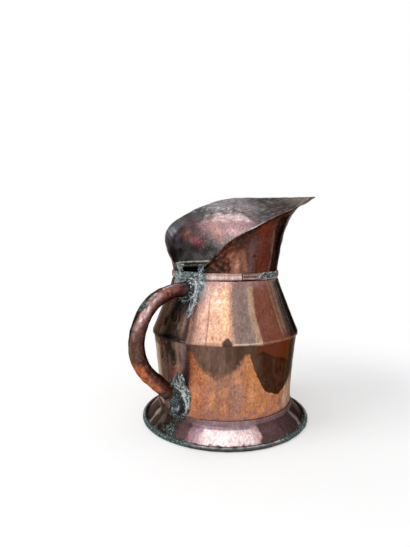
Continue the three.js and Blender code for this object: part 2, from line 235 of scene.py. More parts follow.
def rounded(room, radius):
    """How thick an edge is, from 0 to 1, at a distance from its end: a quarter circle of that radius."""
    return np.sqrt(1 - (1 - np.clip(room / radius, 0, 1)) ** 2)


def steps(length, fine, edge):
    """Places along a length, about fine apart, drawn together over the rounded edge at both ends."""
    round_off = edge * (1 - np.cos(np.radians([0, 25, 50, 72, 90])))
    middle = np.linspace(edge, length - edge, max(int((length - 2 * edge) / fine), 2) + 1)
    return np.concatenate([round_off[:-1], middle, length - round_off[:-1][::-1]])


def measured(line):
    """Length run along a line up to each of its points."""
    return np.concatenate([[0], np.cumsum(np.linalg.norm(np.diff(line, axis=0), axis=1))])


def read_at(places, run, line):
    """Points at these places of a line, where run tells the places of its own points."""
    return np.stack([np.interp(places, run, column) for column in line.T], axis=-1)


def drawn(line, fine, edge=SHEET / 2):
    """The line with points about fine apart, closer at its rounded ends."""
    run = measured(line)
    return read_at(steps(run[-1], fine, edge), run, line)


def evened(line, count):
    """The line resampled to count points, even in its own numbering."""
    return read_at(np.linspace(0, len(line) - 1, count), np.arange(len(line)), line)


def arc(centre, radius, start, end, count):
    """Points of a circular arc."""
    t = np.linspace(start, end, count)
    return np.stack([centre[0] + radius * np.cos(t), centre[1] + radius * np.sin(t)], axis=1)


def bent(points, count=60):
    """Quadratic Bezier curve."""
    a, b, c = (np.array(p, float) for p in points)
    t = np.linspace(0, 1, count)[:, None]
    return (1 - t) ** 2 * a + 2 * t * (1 - t) * b + t**2 * c


def strung(points, count):
    """Centripetal Catmull-Rom curve through the points, with count places evenly along its length."""
    p = np.concatenate([[2 * points[0] - points[1]], points, [2 * points[-1] - points[-2]]])
    knot = np.sqrt(np.linalg.norm(np.diff(p, axis=0), axis=1))[:, None]
    before, here, after = knot[:-2], knot[1:-1], knot[2:]
    step = np.diff(p, axis=0)
    leave = (step[:-2] / before - (p[2:-1] - p[:-3]) / (before + here) + step[1:-1] / here) * here
    reach = (step[1:-1] / here - (p[3:] - p[1:-2]) / (here + after) + step[2:] / after) * here
    t = np.linspace(0, 1, 60, endpoint=False)[None, :, None]
    a, b = p[1:-2, None], p[2:-1, None]
    leave, reach = leave[:, None], reach[:, None]
    curve = (2 * t**3 - 3 * t**2 + 1) * a + (t**3 - 2 * t**2 + t) * leave
    curve = curve + (3 * t**2 - 2 * t**3) * b + (t**3 - t**2) * reach
    curve = np.concatenate([curve.reshape(-1, p.shape[1]), points[-1:]])
    run = measured(curve)
    return read_at(np.linspace(0, run[-1], count), run, curve)


# Meshes


def mesh_object(name, points, faces):
    """A new object in the scene, with a mesh of these points, in metres, and faces."""
    mesh = bpy.data.meshes.new(name)
    mesh.from_pydata(points, [], faces)
    thing = bpy.data.objects.new(name, mesh)
    bpy.context.scene.collection.objects.link(thing)
    return thing


def over_grid(value, key, shape):
    """A mark as [i, j, numbers]: three numbers to a point for a tone, and one for all else."""
    if key.endswith("tone"):
        return np.broadcast_to(value, shape + (3,))
    return np.broadcast_to(value, shape)[..., None]


def skin(name, front, back, around, marks):
    """Closed body between two grids that share their borders. Each grid is [i, j, xyz], and its first
    direction crossed with its second points out of the front. around closes the first direction. marks
    gives the values that the finish reads from the vertices."""
    columns, rows = front.shape[:2]
    number = np.arange(columns * rows).reshape(columns, rows)
    shared = np.zeros((columns, rows), bool)
    shared[:, [0, -1]] = True
    if not around:
        shared[[0, -1], :] = True
    other = number.copy()
    other[~shared] = columns * rows + np.arange((~shared).sum())

    def quads(index):
        if around:
            index = np.concatenate([index, index[:1]])
        corners = [index[:-1, :-1], index[1:, :-1], index[1:, 1:], index[:-1, 1:]]
        return np.stack(corners, axis=-1).reshape(-1, 4)

    points = np.concatenate([front.reshape(-1, 3), back[~shared]])
    faces = np.concatenate([quads(number), quads(other)[:, ::-1]])
    values = {}
    back_marks = marks(back, False)
    for key, value in marks(front, True).items():
        outside = over_grid(value, key, shared.shape)
        inside = over_grid(back_marks[key], key, shared.shape)
        values[key] = np.concatenate([outside.reshape(-1, outside.shape[-1]), inside[~shared]])
    return body(name, points, faces, values)


def body(name, points, faces, values):
    """Makes the mesh object, places it in the frame in metres, and stores each mark on its vertices."""
    piece = mesh_object(name, (points + [AXIS, 0, 0]) * MM, faces)
    mesh = piece.data
    for key, value in values.items():
        if value.shape[1] == 3:
            layer = mesh.attributes.new(key, "FLOAT_COLOR", "POINT")
            whole = np.concatenate([value, np.ones((len(value), 1))], axis=1)
            layer.data.foreach_set("color", whole.astype(np.float32).ravel())
        else:
            layer = mesh.attributes.new(key, "FLOAT", "POINT")
            layer.data.foreach_set("value", value.astype(np.float32).ravel())
    mesh.polygons.foreach_set("use_smooth", np.ones(len(mesh.polygons), bool))
    mesh.update()
    return piece


def stand_for(piece, node, material):
    """Gives a piece its material and makes it stand for its CAD node."""
    piece.data.materials.append(material)
    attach(piece, "root")
    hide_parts(node)


def profile_sides(line):
    """Both faces of a sheet in profile: the middle line moved along its normals, less and less towards
    its two ends, where the sheet's edge is round."""
    slope = np.gradient(line, axis=0)
    slope /= np.linalg.norm(slope, axis=1, keepdims=True)
    normal = np.stack([slope[:, 1], -slope[:, 0]], axis=1)
    run = measured(line)
    thick = SHEET / 2 * rounded(np.minimum(run, run[-1] - run), SHEET / 2)[:, None]
    return line + normal * thick, line - normal * thick


def spun(line, angle, shift=0.0):
    """A profile of (radius, height) carried round the axis. shift changes the radius."""
    a = np.radians(angle)[:, None]
    radius = line[None, :, 0] + shift + 0 * a
    height = np.broadcast_to(line[None, :, 1], radius.shape)
    return np.stack([radius * np.cos(a), radius * np.sin(a), height], axis=-1)


def turned(line, shift=0.0, angle=ROUND):
    """Both faces of the sheet with this middle line in profile, carried round the axis."""
    return [spun(side, angle, shift) for side in profile_sides(line)]


def angle_height(points):
    """Degrees round the axis, 0 to 360, and height."""
    return np.degrees(np.arctan2(points[..., 1], points[..., 0])) % 360, points[..., 2]


# Profiles of the sheets, (radius, height)


def body_line():
    """Quadratic curve from the foot over the waist to the crease."""
    middle = SHEET / 2
    foot = (BODY_FOOT_RADIUS - middle, BODY_BOTTOM)
    waist = (BODY_WAIST[0] - middle, BODY_WAIST[1])
    return bent([foot, waist, (BODY_TOP_RADIUS - middle, BODY_TOP)])


def shoulder_line():
    """Lap, crease, straight cone, a ledge close under the neck band, and collar."""
    lap = BODY_TOP_RADIUS + GAP + SHEET / 2
    crease = arc((lap - CREASE_BEND, CREASE_HEIGHT), CREASE_BEND, 0, SHOULDER_LEAN, 6)
    rise = np.array([-np.sin(SHOULDER_LEAN), np.cos(SHOULDER_LEAN)])
    collar = COLLAR_RADIUS - SHEET / 2
    level = BAND_BOTTOM - LEDGE_ROOM - SHEET / 2
    brink = crease[-1] + rise * (level - crease[-1][1]) / rise[1]
    corner = bent([brink - 1.4 * rise, brink, brink - [1.2, 0]], 8)
    root = bent([(collar + 0.9, level), (collar, level), (collar, level + 0.9)], 8)
    return np.concatenate([[(lap, LIP_BOTTOM)], crease, corner, root, [(collar, COLLAR_TOP)]])


def roll_centre():
    """Middle of the wire and of the edge rolled round it."""
    out = WIRE_RADIUS + GAP + SHEET
    return np.array([FOOT_RADIUS - out, out])


def skirt_line():
    """From the edge rolled over, round and under the wire, up the straight flare and the fillet to the
    collar."""
    collar = BODY_FOOT_RADIUS + SKIRT_ROOM + SHEET / 2
    start = np.pi + SKIRT_SLOPE
    edge = arc(roll_centre(), WIRE_RADIUS + GAP + SHEET / 2, start, start + ROLL_TURN, 48)
    corner = edge[0][1] + (edge[0][0] - collar) * np.tan(SKIRT_SLOPE)
    rise = SKIRT_FILLET * np.tan(SKIRT_SLOPE / 2)
    fillet = arc((collar + SKIRT_FILLET, corner + rise), SKIRT_FILLET, np.pi, start, 10)
    return np.concatenate([[(collar, SKIRT_TOP)], fillet, edge])[::-1]


def outer_wall(height):
    """Outer radius of foot collar, body, shoulder and band at a height above the flare."""
    body_side = body_line() + [SHEET / 2, 0]
    shoulder_side = profile_sides(drawn(shoulder_line(), 1.0))[0]
    low = body_side[(body_side[:, 1] > SKIRT_TOP + 0.2) & (body_side[:, 1] < LIP_BOTTOM - 0.2)]
    high = shoulder_side[(shoulder_side[:, 1] > LIP_BOTTOM) & (shoulder_side[:, 1] < BAND_BOTTOM - 0.3)]
    skirt = [(BODY_FOOT_RADIUS + SKIRT_SEAT + SHEET, SKIRT_TOP)]
    band = HOOD_RADIUS + GAP + BAND_DEPTH
    crown = [(band, BAND_BOTTOM), (band + BAND_CROWN, BAND_MIDDLE), (band, BAND_TOP)]
    line = np.concatenate([skirt, low, high, crown])
    return np.interp(height, line[:, 1], line[:, 0])


# Dents, in millimetres, always inward


def wall_dents(angle, height):
    """Dents of body and shoulder at angles and heights: broad waves, planishing marks and soft upright
    flats, fading to nothing at the seams."""
    points = spun(np.stack([0 * height + DENT_RADIUS, height], axis=1), angle)
    broad = 0.5 + 0.5 * lumps(points * [1, 1, 0.6], 70, 11)
    marks = 0.5 + 0.5 * lumps(points, 13, 12)
    upright = 0.5 + 0.5 * lumps(points * [1, 1, 0.18], 24, 13)
    flats = 0.5 - 0.5 * np.cos(np.radians(turn(angle - 6) * 15))[:, None]
    shoulder = smooth(height, CREASE_HEIGHT, CREASE_HEIGHT + 12)
    fade = between(height, SKIRT_TOP, SKIRT_TOP + 14, SHOULDER_TOP - 10, SHOULDER_TOP + 2)
    depth = 0.45 * broad + 0.1 * marks + 0.16 * upright + 0.34 * flats * shoulder
    return -np.clip(depth, 0, 2) * fade


def rim_wander(angle):
    """Inward wander of the foot's rolled edge."""
    circle = 100 * outward(angle)
    waves = 0.16 * lumps(circle, 75, 21) + 0.16 * lumps(circle, 16, 22) + 0.13 * lumps(circle, 6, 23)
    return np.minimum(waves - 0.42, 0)


# Painted reflections of light and dark surroundings, with the copper's own tone, that run round the body as
# upright bands, as (first angle, tone)

SHOULDER_REFLECTION_BANDS = [
    (0, "7d4a38"), (14, "c08a6c"), (26, "8f5b48"), (40, "6b5048"), (55, "b98168"), (71, "e0b08f"),
    (92, "a5796a"), (101, "6e4434"), (118, "98604a"), (130, "6a4e40"), (137, "3a2c25"), (150, "4e3e36"),
    (158, "64524a"), (165, "74604e"), (168.5, "5a483c"), (175, "4a3e36"), (182, "5c473e"),
    (186, "4c3a35"), (190, "d8a890"), (204.6, "cc9c7e"), (224.2, "927a70"), (238.4, "b5947a"),
    (244.3, "7c4a3a"), (261, "6d4234"), (263.6, "906c56"), (265.6, "784c3a"), (268.5, "826a5a"),
    (272.5, "726056"), (275.5, "968880"), (277.5, "6a5a52"), (280.5, "b4a8a0"), (282.5, "5c504a"),
    (287, "33271f"), (302, "5a3528"), (318, "a0634a"), (330, "8a5542"), (347, "b67c60"),
]
BODY_REFLECTION_BANDS = [
    (0, "b4653f"), (22, "bf7650"), (45, "a5603f"), (70, "c17a55"), (88, "b06a48"), (112, "a85f40"),
    (134, "b4704e"), (140, "d0b6a2"), (146, "e4cebc"), (152.5, "ae947e"), (157, "6a5446"), (160, "5e4a40"),
    (167, "45332e"), (176, "5a443e"), (182, "5c4a48"), (190, "c2754a"), (203, "b87a5a"), (222, "b98062"),
    (232, "c4804e"), (252, "bc7a58"), (266, "b8805c"), (272, "d4b69c"), (284, "c8a284"), (293, "b8855f"),
    (303, "a5684a"), (314, "b06c46"), (336, "c0774e"),
]
FOOT_REFLECTION_BANDS = [
    (0, "6a4640"), (20, "b98480"), (44, "6e4c46"), (80, "5c4240"), (104, "c79a96"), (126, "70504c"),
    (131, "403c40"), (145, "3c3230"), (150, "b0a098"), (154, "4a3c36"), (162, "7a6a5e"), (165, "443834"),
    (176, "50403c"), (184, "6e5250"), (193, "a8858c"), (203, "e8ccc8"), (238, "cfaaa4"), (241.5, "563e3c"),
    (262, "463332"), (276, "483632"), (283, "b0a49a"), (286, "3e302c"), (300, "54403c"), (324, "96706a"),
    (340, "70504a"),
]
TARNISH = colour("3c302c")


def banded(angle, bands, soft):
    """Colour of the upright bands at an angle, each running into the next over soft degrees each way."""
    tone = colour(bands[-1][1])
    for start, code in bands + [(360, bands[0][1])]:
        tone = mix(tone, colour(code), smooth(angle, start - soft, start + soft)[..., None])
    return tone


def painted(tone, code, share):
    """The tone with a colour laid over it as thickly as share says."""
    return mix(tone, colour(code), np.clip(share, 0, 1)[..., None])


def layered(tone, layers):
    """The tone with layers laid over it, the lowest first, as (colour, share)."""
    for code, share in layers:
        tone = painted(tone, code, share)
    return tone


def soot(points, share, seed):
    """Layers of olive streaks and green-black blotches, as thick as share says."""
    streaks = smooth(lumps(points * [1, 1, 0.2], 5, seed), 0.0, 0.9)
    blotch = smooth(lumps(points * [1, 1, 0.6], 12, seed + 1) + 0.6 * lumps(points, 4, seed + 2), 0.0, 0.6)
    return [("6e5e4a", 0.55 * share * streaks), ("1d1f1b", 0.9 * share * blotch)]


# Painted dark reflections that hang from the crease in scallops: (middle angle, half width, depth, softness
# of the edge)

REFLECTION_SCALLOPS = [
    (213.5, 21.5, 40, 7), (263.5, 28.5, 67, 1.0), (318, 22, 52, 2), (4, 21, 36, 6), (49, 23, 60, 1.2),
    (94, 21, 44, 4), (129, 14, 34, 6),
]
NO_FILM_OR_REFLECTION = -9.0


def reflection_and_shade_depth(angle, height):
    """How deep a point lies inside the painted dark reflections, in widths of their soft edge: the greatest
    over the scallops, which are half super-ellipses hung from the crease, and over a belt of painted shade
    close under it."""
    depth = NO_FILM_OR_REFLECTION
    for middle, half, hang, soft in REFLECTION_SCALLOPS:
        across = np.clip(apart(angle, middle) / half, 0, 1)
        edge = BODY_TOP + 1 - hang * (1 - across**2.1) ** 0.7 + 30 * (across >= 1)
        depth = np.maximum(depth, (height - edge) / soft)
    return np.maximum(depth, (height - BODY_TOP + 12) / 3)


def film_and_reflection_tone(points):
    """The painted reflections are grey-brown in some scallops and deep red-brown in others, redder under
    the crease, with a dark line where the redder part ends, and cloudy all over."""
    angle, height = angle_height(points)
    cloudy = lumps(points * [1, 1, 0.35], 11, 27) + 0.6 * lumps(points * [1, 1, 0.5], 4, 28)
    red = (smooth(apart(angle, 264), 26, 19) + smooth(apart(angle, 49), 30, 14)).clip(0, 1)
    line = 101 - 0.6 * apart(angle, 246) + np.cos(np.radians(turn(angle - 246) * 16))
    return layered(painted(colour("6a5447"), "2c150d", red), [
        ("8c7464", 0.4 * smooth(cloudy, 0.2, 1.4) * (1 - 0.75 * red)),
        ("3c2a22", 0.5 * smooth(-cloudy, 0.2, 1.4)),
        ("4a382f", 0.8 * smooth(apart(angle, 236), 10, 3) * (1 - red)),
        ("34251f", 0.85 * toward(angle, 227, 4.5) * (1 - red) * smooth(height, 72, 84)),
        ("170e0b", 0.85 * smooth(turn(angle - 272), 0, 9) * red),
        ("5c2a18", smooth(height - line, 0.2, 1.4) * red * smooth(angle, 278, 272)),
        ("1a0f0b", 0.9 * bell(height - line, 0, 1.1) * red),
    ])


# Marks of the turned sheets: tone, green, and wear with painted glints and, under dark film and painted
# dark reflections, the depth inside them and their tone


def body_marks(points, outside):
    """Marks of the lower body: upright bands of painted reflection, stains and a pink foot under painted
    dark reflections and painted shade under the crease, a painted dark reflection at its right edge, soot
    behind the handle."""
    angle, height = angle_height(points)
    # pale specks of wear and painted glints on the lower body
    wear_and_glints = 0.25 * bell(height, 56, 26) * (0.5 + 0.5 * lumps(points, 45, 34))
    marks = {"tone": TARNISH, "film_and_reflection": NO_FILM_OR_REFLECTION, "film_and_reflection_tone": film_and_reflection_tone(points), "green": 0.2, "wear_and_glints": wear_and_glints}
    if not outside:
        return marks
    sway = lumps(points * [1, 1, 0.2], 26, 31)
    upright = 0.5 + 0.5 * lumps(points * [1, 1, 0.12], 9, 35)
    clean = 1 - toward(angle, 166, 20)
    speckled = smooth(lumps(points, 3.2, 25), 0.2, 0.9)
    blots = smooth(lumps(points, 8, 38) + 0.5 * lumps(points, 3.4, 39), 0.5, 1.3)
    right = between(angle, 276, 281, 312, 330)
    behind = between(angle, 155, 162, 182, 186) * smooth(height, 66, 84)
    marks["tone"] = layered(banded((angle + 0.8 * sway) % 360, BODY_REFLECTION_BANDS, 1.2), [
        ("8a7268", 0.75 * upright * toward(angle, 218, 15) * bell(height, 52, 24)),
        ("8a6666", 0.75 * smooth(height, 44, 24) * (0.5 + 0.7 * lumps(points, 12, 36))),
        ("5e2e1e", 0.7 * toward(angle, 197, 5) * bell(height, 84, 22) * speckled),
        ("dc9462", 0.55 * clean * smooth(lumps(points * [1, 1, 0.7], 14, 37), 0.1, 1.0)),
        ("96604e", 0.6 * clean * blots),
        ("7c6062", 0.75 * smooth(height + 1.5 * lumps(points, 9, 30), 28, 22.5)),
        ("8e4a3c", toward(angle, 176, 5) * bell(height, 74, 6)),
        # painted dark reflection down the body's right edge
        ("221814", 0.92 * right * smooth(height + 2 * sway, 54, 72)),
        ("1f201c", 0.95 * toward(angle, 172.5, 8.5) * bell(height, 107, 17)),
        *soot(points, behind, 26),
        ("7e6866", between(angle, 183.5, 186, 189.5, 191.5) * smooth(height, 62, 74)),
        ("8e7260", 0.75 * toward(angle, 181, 1.8) * smooth(height, 72, 80)),
    ])
    # depth inside the painted dark reflections and the painted shade under the crease, left out behind the
    # handle
    film_and_reflection = reflection_and_shade_depth(angle, height + 2.2 * lumps(points, 30, 33) + 0.7 * lumps(points, 8, 32))
    marks["film_and_reflection"] = np.where(apart(angle, 174) < 16, -8, film_and_reflection)
    green = 0.5 * toward(angle, 186, 2.5) * bell(height, 100, 14)
    green = green + 0.72 * toward(angle, 181, 10) * smooth(height, 74, 64)
    marks["green"] = np.maximum(green, 0.3 * bell(height, SKIRT_TOP, 1.6))
    return marks


def shoulder_marks(points, outside):
    """Marks of the shoulder: upright bands of painted reflection and fine stripes, some of them painted
    reflections, pale flecks and crackle in front, soot and solder's grey behind the handle with painted
    shade on the crease there, a painted highlight along the crease, and painted shade on the lap's edge
    under it in front."""
    angle, height = angle_height(points)
    marks = {"tone": TARNISH, "film_and_reflection": NO_FILM_OR_REFLECTION, "film_and_reflection_tone": colour("46342d"), "green": 0.2, "wear_and_glints": 0}
    if not outside:
        return marks
    sway = lumps(points * [1, 1, 0.12], 22, 41) + 0.4 * lumps(points * [1, 1, 0.3], 5, 46)
    flecks = smooth(lumps(points * [1, 1, 0.6], 6, 43) + 0.5 * lumps(points, 3.2, 47), 0.1, 0.9)
    crackle = bell(lumps(points, 6, 78), 0, 0.16) * toward(angle, 214, 8)
    streaks = smooth(lumps(points * [1, 1, 0.1], 5, 49), -0.5, 0.5)
    handle_side = between(angle, 150, 156, 184, 188)
    behind = between(angle, 154, 161, 182, 186) * smooth(height, 165, 135)
    reddened = smooth(turn(angle - 250), -4, 6) * smooth(angle, 286, 276)
    # strength of the painted highlight along the crease, weaker on the handle side
    bright = 0.2 * (1 - handle_side) + 0.8 * between(angle, 222, 226, 240, 246)
    bright = bright * (0.8 + 0.4 * lumps(points, 14, 45)).clip(0, 1)
    bands = banded((angle + 0.9 * sway) % 360, SHOULDER_REFLECTION_BANDS, 0.8 + 1.8 * smooth(height, 145, 178))
    marks["tone"] = layered(bands, [
        ("a3827c", 0.75 * toward(angle, 199, 7.5) * smooth(height, 142, 168)),
        ("f8dcc4", 0.75 * flecks * toward(angle, 213, 7) * smooth(height, 140, 160)),
        # thin bright upright stripes: painted reflections
        ("e8b87e", 0.5 * toward(angle + 0.3 * sway, 218.6, 2.2) * smooth(height, 118, 128)),
        ("c08a74", 0.5 * toward(angle + 0.3 * sway, 222.8, 1.1)),
        ("f8e8da", 0.3 * crackle * smooth(height, 116, 128)),
        ("7a5c50", 0.8 * toward(angle, 205.2, 0.45) * smooth(height, 172, 150)),
        ("6f4c40", 0.55 * smooth(lumps(points, 7, 44), 0.9, 1.6) * smooth(height, 140, 122)),
        ("74402f", 0.8 * reddened * smooth(height, 125, 116)),
        ("9c7a74", 0.7 * smooth(height + 2 * sway, 167, 177) * between(angle, 196, 204, 250, 270)),
        *soot(points, behind, 48),
        ("96765e", 0.8 * streaks * toward(angle, 176.5, 8) * bell(height, 133, 14)),
        ("b0907c", 0.8 * toward(angle, 185.5, 1.6) * bell(height, 131, 10)),
        ("1f1f1b", 0.95 * toward(angle, 174, 8.5) * smooth(height, 120, 114)),
        ("a29c98", 0.65 * toward(angle, 197, 5) * smooth(height, 148, 166)),
        # painted shade on the crease and the lap under it, on the handle side
        ("2a2724", 0.92 * handle_side * smooth(height, 117.5, 114)),
        ("23262a", 0.85 * toward(angle, 183, 9) * smooth(height, 140, 156)),
        ("272e2b", 0.85 * toward(angle, 179, 9) * bell(height, 150, 10)),
        # painted highlight along the crease's bend
        ("efd0b4", bell(height, CREASE_HEIGHT + 0.4, 0.8) * bright),
        # painted shade on the lap's lower edge in front, under the crease
        ("5c4a42", 0.8 * smooth(height, 111.9, 111.2) * between(angle, 190, 196, 240, 250)),
    ])
    stains = toward(angle, 219.8, 1.3 + 2.4 * smooth(height, 123, 113)) * smooth(height, 124, 115)
    marks["film_and_reflection"] = np.maximum(NO_FILM_OR_REFLECTION, 4 * stains - 1.8)
    green = 0.8 * toward(angle, 181, 15) * smooth(height, 138, 160)
    marks["green"] = np.maximum(green, 0.4 * toward(angle, 188, 2.5) * smooth(height, 134, 118))
    return marks


def skirt_marks(points, outside):
    """Marks of the foot skirt: upright bands of painted reflection and a pink painted highlight in front, a
    brown collar with painted shade where it meets the flare, and a dark rolled edge with a broken painted
    highlight and painted shade under it."""
    angle, height = angle_height(points)
    radius = np.hypot(points[..., 0], points[..., 1])
    sway = lumps(points, 14, 51)
    collar = smooth(height, 18.5, 20.5)
    handle_side = between(angle, 148, 156, 185, 192)
    roll = smooth(radius + 0.6 * sway + 0.7 * lumps(points, 6, 55), FOOT_RADIUS - 7.4, FOOT_RADIUS - 5.4)
    tone = TARNISH
    if outside:
        patch = between(angle, 194, 206, 236, 242)
        mauve = smooth(lumps(points, 5, 53) + 0.5 * lumps(points, 2.5, 54), 0.4, 1.3)
        tone = layered(banded((angle + 1.2 * sway) % 360, FOOT_REFLECTION_BANDS, 1.4), [
            # pink painted highlight in front, mottled with mauve
            ("f2dad2", 0.7 * patch * bell(radius, 94.5, 5.5) * (0.8 + 0.25 * lumps(points, 9, 52))),
            ("a07c82", 0.28 * patch * mauve),
            # the painted highlight ends darker in the cove
            ("8a7078", 0.8 * patch * smooth(radius, 88.8, 86.8)),
            ("7c6260", collar),
            # the collar continues the painted highlight in front
            ("a48a8c", 0.7 * collar * between(angle, 196, 206, 236, 246)),
            # painted shade in the corner where the collar meets the flare
            ("3c2c2b", 0.35 * bell(height, 18.4, 1.8)),
            ("443a34", 0.85 * collar * handle_side),
        ])
    broken = (0.7 + 0.6 * lumps(points, 9, 56)).clip(0, 1)
    tone = layered(tone, [
        ("454748", roll),
        # painted highlight along the top of the rolled edge, broken up
        ("d2d2cc", 0.85 * bell(radius, FOOT_RADIUS - 1.9, 0.8) * roll * broken),
        # painted shade under the rolled edge
        ("181817", 0.9 * roll * smooth(height, 2.6, 1.3)),
    ])
    side = toward(angle, 168, 26) + toward(angle, 276, 24)
    green = (0.45 - 0.16 * toward(angle, 224, 24) + 0.2 * side) * roll
    green = green + 0.48 * side * smooth(radius, 89, 100)
    green = green + 0.3 * toward(angle, 184, 9) * smooth(radius, 93, 99)
    green = green + 0.66 * toward(angle, 177, 10) * smooth(height, 3, 11) + 0.3 * collar * handle_side
    if not outside:
        green = np.maximum(green, 0.35 * (1 - roll))
    return {"tone": tone, "green": green, "wear_and_glints": 0.04}


def plate_marks(points, outside):
    """Marks of the bottom plate, the same on both of its faces."""
    share = 0.5 + 0.5 * lumps(points, 30, 71)
    return {"tone": mix(colour("5a4034"), colour("7a5848"), share[..., None]), "green": 0.3, "wear_and_glints": 0}


def band_marks(points, outside):
    """Marks of the neck band, the same on both of its faces: a painted highlight along its crown that shows
    in front, brown behind and in the shade beside its joint."""
    angle, height = angle_height(points)
    seen = between(angle, 200, 206, 234, 236.5)
    brown = (0.45 + 0.7 * lumps(points * [1, 1, 0.4], 30, 82)) * (1 - seen)
    beside = between(angle, 234, 236, 250, 262)
    line = bell(height, BAND_MIDDLE - 2.2, 0.5) + bell(height, BAND_MIDDLE + 1.8, 0.4)
    tone = layered(colour("a88a84"), [
        # painted highlight along the band's crown
        ("f0ccc2", bell(height, BAND_MIDDLE - 0.8, 2.2)),
        ("7a5446", 0.75 * brown),
        ("6e5048", 0.9 * beside),
        ("cdb0a6", 0.7 * beside * line),
    ])
    green = 0.3 + 0.5 * toward(angle, 180, 28) - 0.25 * seen - 0.1 * beside
    return {"tone": tone, "green": green, "wear_and_glints": 0.2}


# Turned sheets


def lower_body():
    """The body's line turned round the axis and dented."""
    line = drawn(body_line(), 1.35)
    front, back = turned(line, wall_dents(ROUND, line[:, 1]))
    return skin("Lower_body", front, back, True, body_marks)


def shoulder_cone():
    """The shoulder's line turned round the axis, dented, its lap's lower edge slightly uneven."""
    line = drawn(shoulder_line(), 0.95)
    front, back = turned(line, wall_dents(ROUND, line[:, 1]))
    circle = spun(np.array([(90.0, 100.0)]), ROUND)
    uneven = (0.35 * lumps(circle, 40, 61) + 0.3 * lumps(circle, 11, 62))[..., None] * UP
    uneven = uneven * smooth(line[:, 1], LIP_BOTTOM + 3.5, LIP_BOTTOM)[None, :, None]
    return skin("Shoulder", front + uneven, back + uneven, True, shoulder_marks)


def foot_skirt():
    """The skirt's line turned round the axis, its rolled edge wandering in and out."""
    line = drawn(skirt_line(), 0.75)
    share = np.minimum.accumulate(smooth(line[:, 0], BODY_FOOT_RADIUS + 4, FOOT_RADIUS - 5.5))
    front, back = turned(line, rim_wander(ROUND)[:, None] * share[None, :])
    flare = (share * (1 - share) * 4)[None, :, None] * UP
    dents = 0.35 * lumps(front, 24, 63)[..., None] * flare
    return skin("Foot_skirt", front + dents, back + dents, True, skirt_marks)


def base_plate():
    """A disc with its edge turned down, turned round the axis: front is its upper and outer face, back its
    lower and inner one, both from the flange's foot to a small round border at the middle."""
    outer = BODY_FOOT_RADIUS - SHEET - GAP - SHEET / 2
    bend = PLATE_BEND - SHEET / 2
    level = PLATE_HEIGHT + SHEET / 2
    corner = arc((outer - bend, level - bend), bend, 0, np.pi / 2, 8)
    line = drawn(np.concatenate([[(outer, BODY_BOTTOM)], corner, [(POLE, level)]]), 2.2)
    front, back = turned(line, angle=ROUND[::3])
    front[:, -1], back[:, -1] = [0, 0, level], [0, 0, level]
    lip = smooth(np.hypot(front[..., 0], front[..., 1]), outer - 6, outer - 16)
    sag = (lip * (0.35 * lumps(front, 42, 72) - 0.5))[..., None] * UP
    return skin("Bottom_plate", front + sag, back + sag, True, plate_marks)


def neck_band():
    """A crowned strip bent round the neck, its two ends butted beside the handle's right."""
    half = (BAND_TOP - BAND_BOTTOM) / 2
    t = np.linspace(-1, 1, 25)
    depth = (BAND_DEPTH + BAND_CROWN * (1 - t**2)) * (1 - np.abs(t) ** 8)
    back = np.stack([0 * t + HOOD_RADIUS + GAP, BAND_MIDDLE + half * t], axis=1)
    gap = np.degrees(BAND_JOINT_GAP / HOOD_RADIUS)
    run = steps(360 - gap, 0.9, 0.5)
    angle = BAND_JOINT + gap / 2 + run
    ends = rounded(np.minimum(run, run[-1] - run), 0.5)[:, None]
    circle = spun(np.array([(67.0, BAND_MIDDLE)]), angle)
    wave = 0.16 * lumps(circle, 18, 81) - 0.25 + 0.2 * smooth(run, 16, 2)[:, None]
    front = spun(back, angle, wave * (1 - t[None, :] ** 2) + depth * ends)
    return skin("Neck_band", front, spun(back, angle), False, band_marks)


# Hood


def rim_at(along):
    """Points of the hood's rim: along is -1 at the notch's right end, 0 at the tip, 1 at its left end."""
    rim = strung(np.concatenate([RIM_RIGHT[::-1], [RIM_TIP], RIM_LEFT]), 4001)
    tip = np.linalg.norm(rim - RIM_TIP, axis=1).argmin()
    at = np.concatenate([np.linspace(-1, 0, tip + 1), np.linspace(0, 1, len(rim) - tip)[1:]])
    return read_at(along, at, rim)


def hood_middle(along, climb):
    """Middle surface of the hood, and the length of each rib's last stretch. along runs from -1 to 1 round
    the neck, from notch over spout to notch, and climb from 0 to 1 up each rib, a cubic Bezier curve from
    the neck's circle to the rim."""
    top = rim_at(along)
    s = np.abs(along)[:, None]
    out = outward((180 - NOTCH_HALF_ANGLE) * along)
    foot = (HOOD_RADIUS - SHEET / 2) * out + HOOD_BASE * UP
    reach = np.linalg.norm(top - foot, axis=1, keepdims=True)
    level = (top - foot) * [1, 1, 0]
    level /= np.linalg.norm(level, axis=1, keepdims=True)
    lean = np.radians(3 + 10 * smooth(s, 0.3, 0.6))
    slope = np.radians(25 + 55 * smooth(s, 0.55, 1))
    start = reach * (0.38 + 0.15 * np.sin(np.pi * s))
    leaving = foot + start * (out * np.sin(lean) + UP * np.cos(lean))
    arriving = top - RIM_HOLD * reach * (level * np.cos(slope) + UP * np.sin(slope))
    t = climb[..., None]
    curve = (1 - t) ** 3 * foot[:, None] + 3 * t * (1 - t) ** 2 * leaving[:, None]
    curve = curve + 3 * t**2 * (1 - t) * arriving[:, None] + t**3 * top[:, None]
    collar = np.array([0.0, 0.14, 0.55, 1.4, 2.8, 4.2, 5.6, 6.6])
    below = foot[:, None] + (collar - (HOOD_BASE - HOOD_BOTTOM))[None, :, None] * UP
    return np.concatenate([below, curve[:, 1:]], axis=1), RIM_HOLD * 3 * reach


def wrinkles(angle, lean=0.0):
    """Upright waves over the neck beside the handle, -1 to 1."""
    return np.cos(np.radians(turn(angle - WRINKLE_ANGLE) * WRINKLE_RATE + lean))


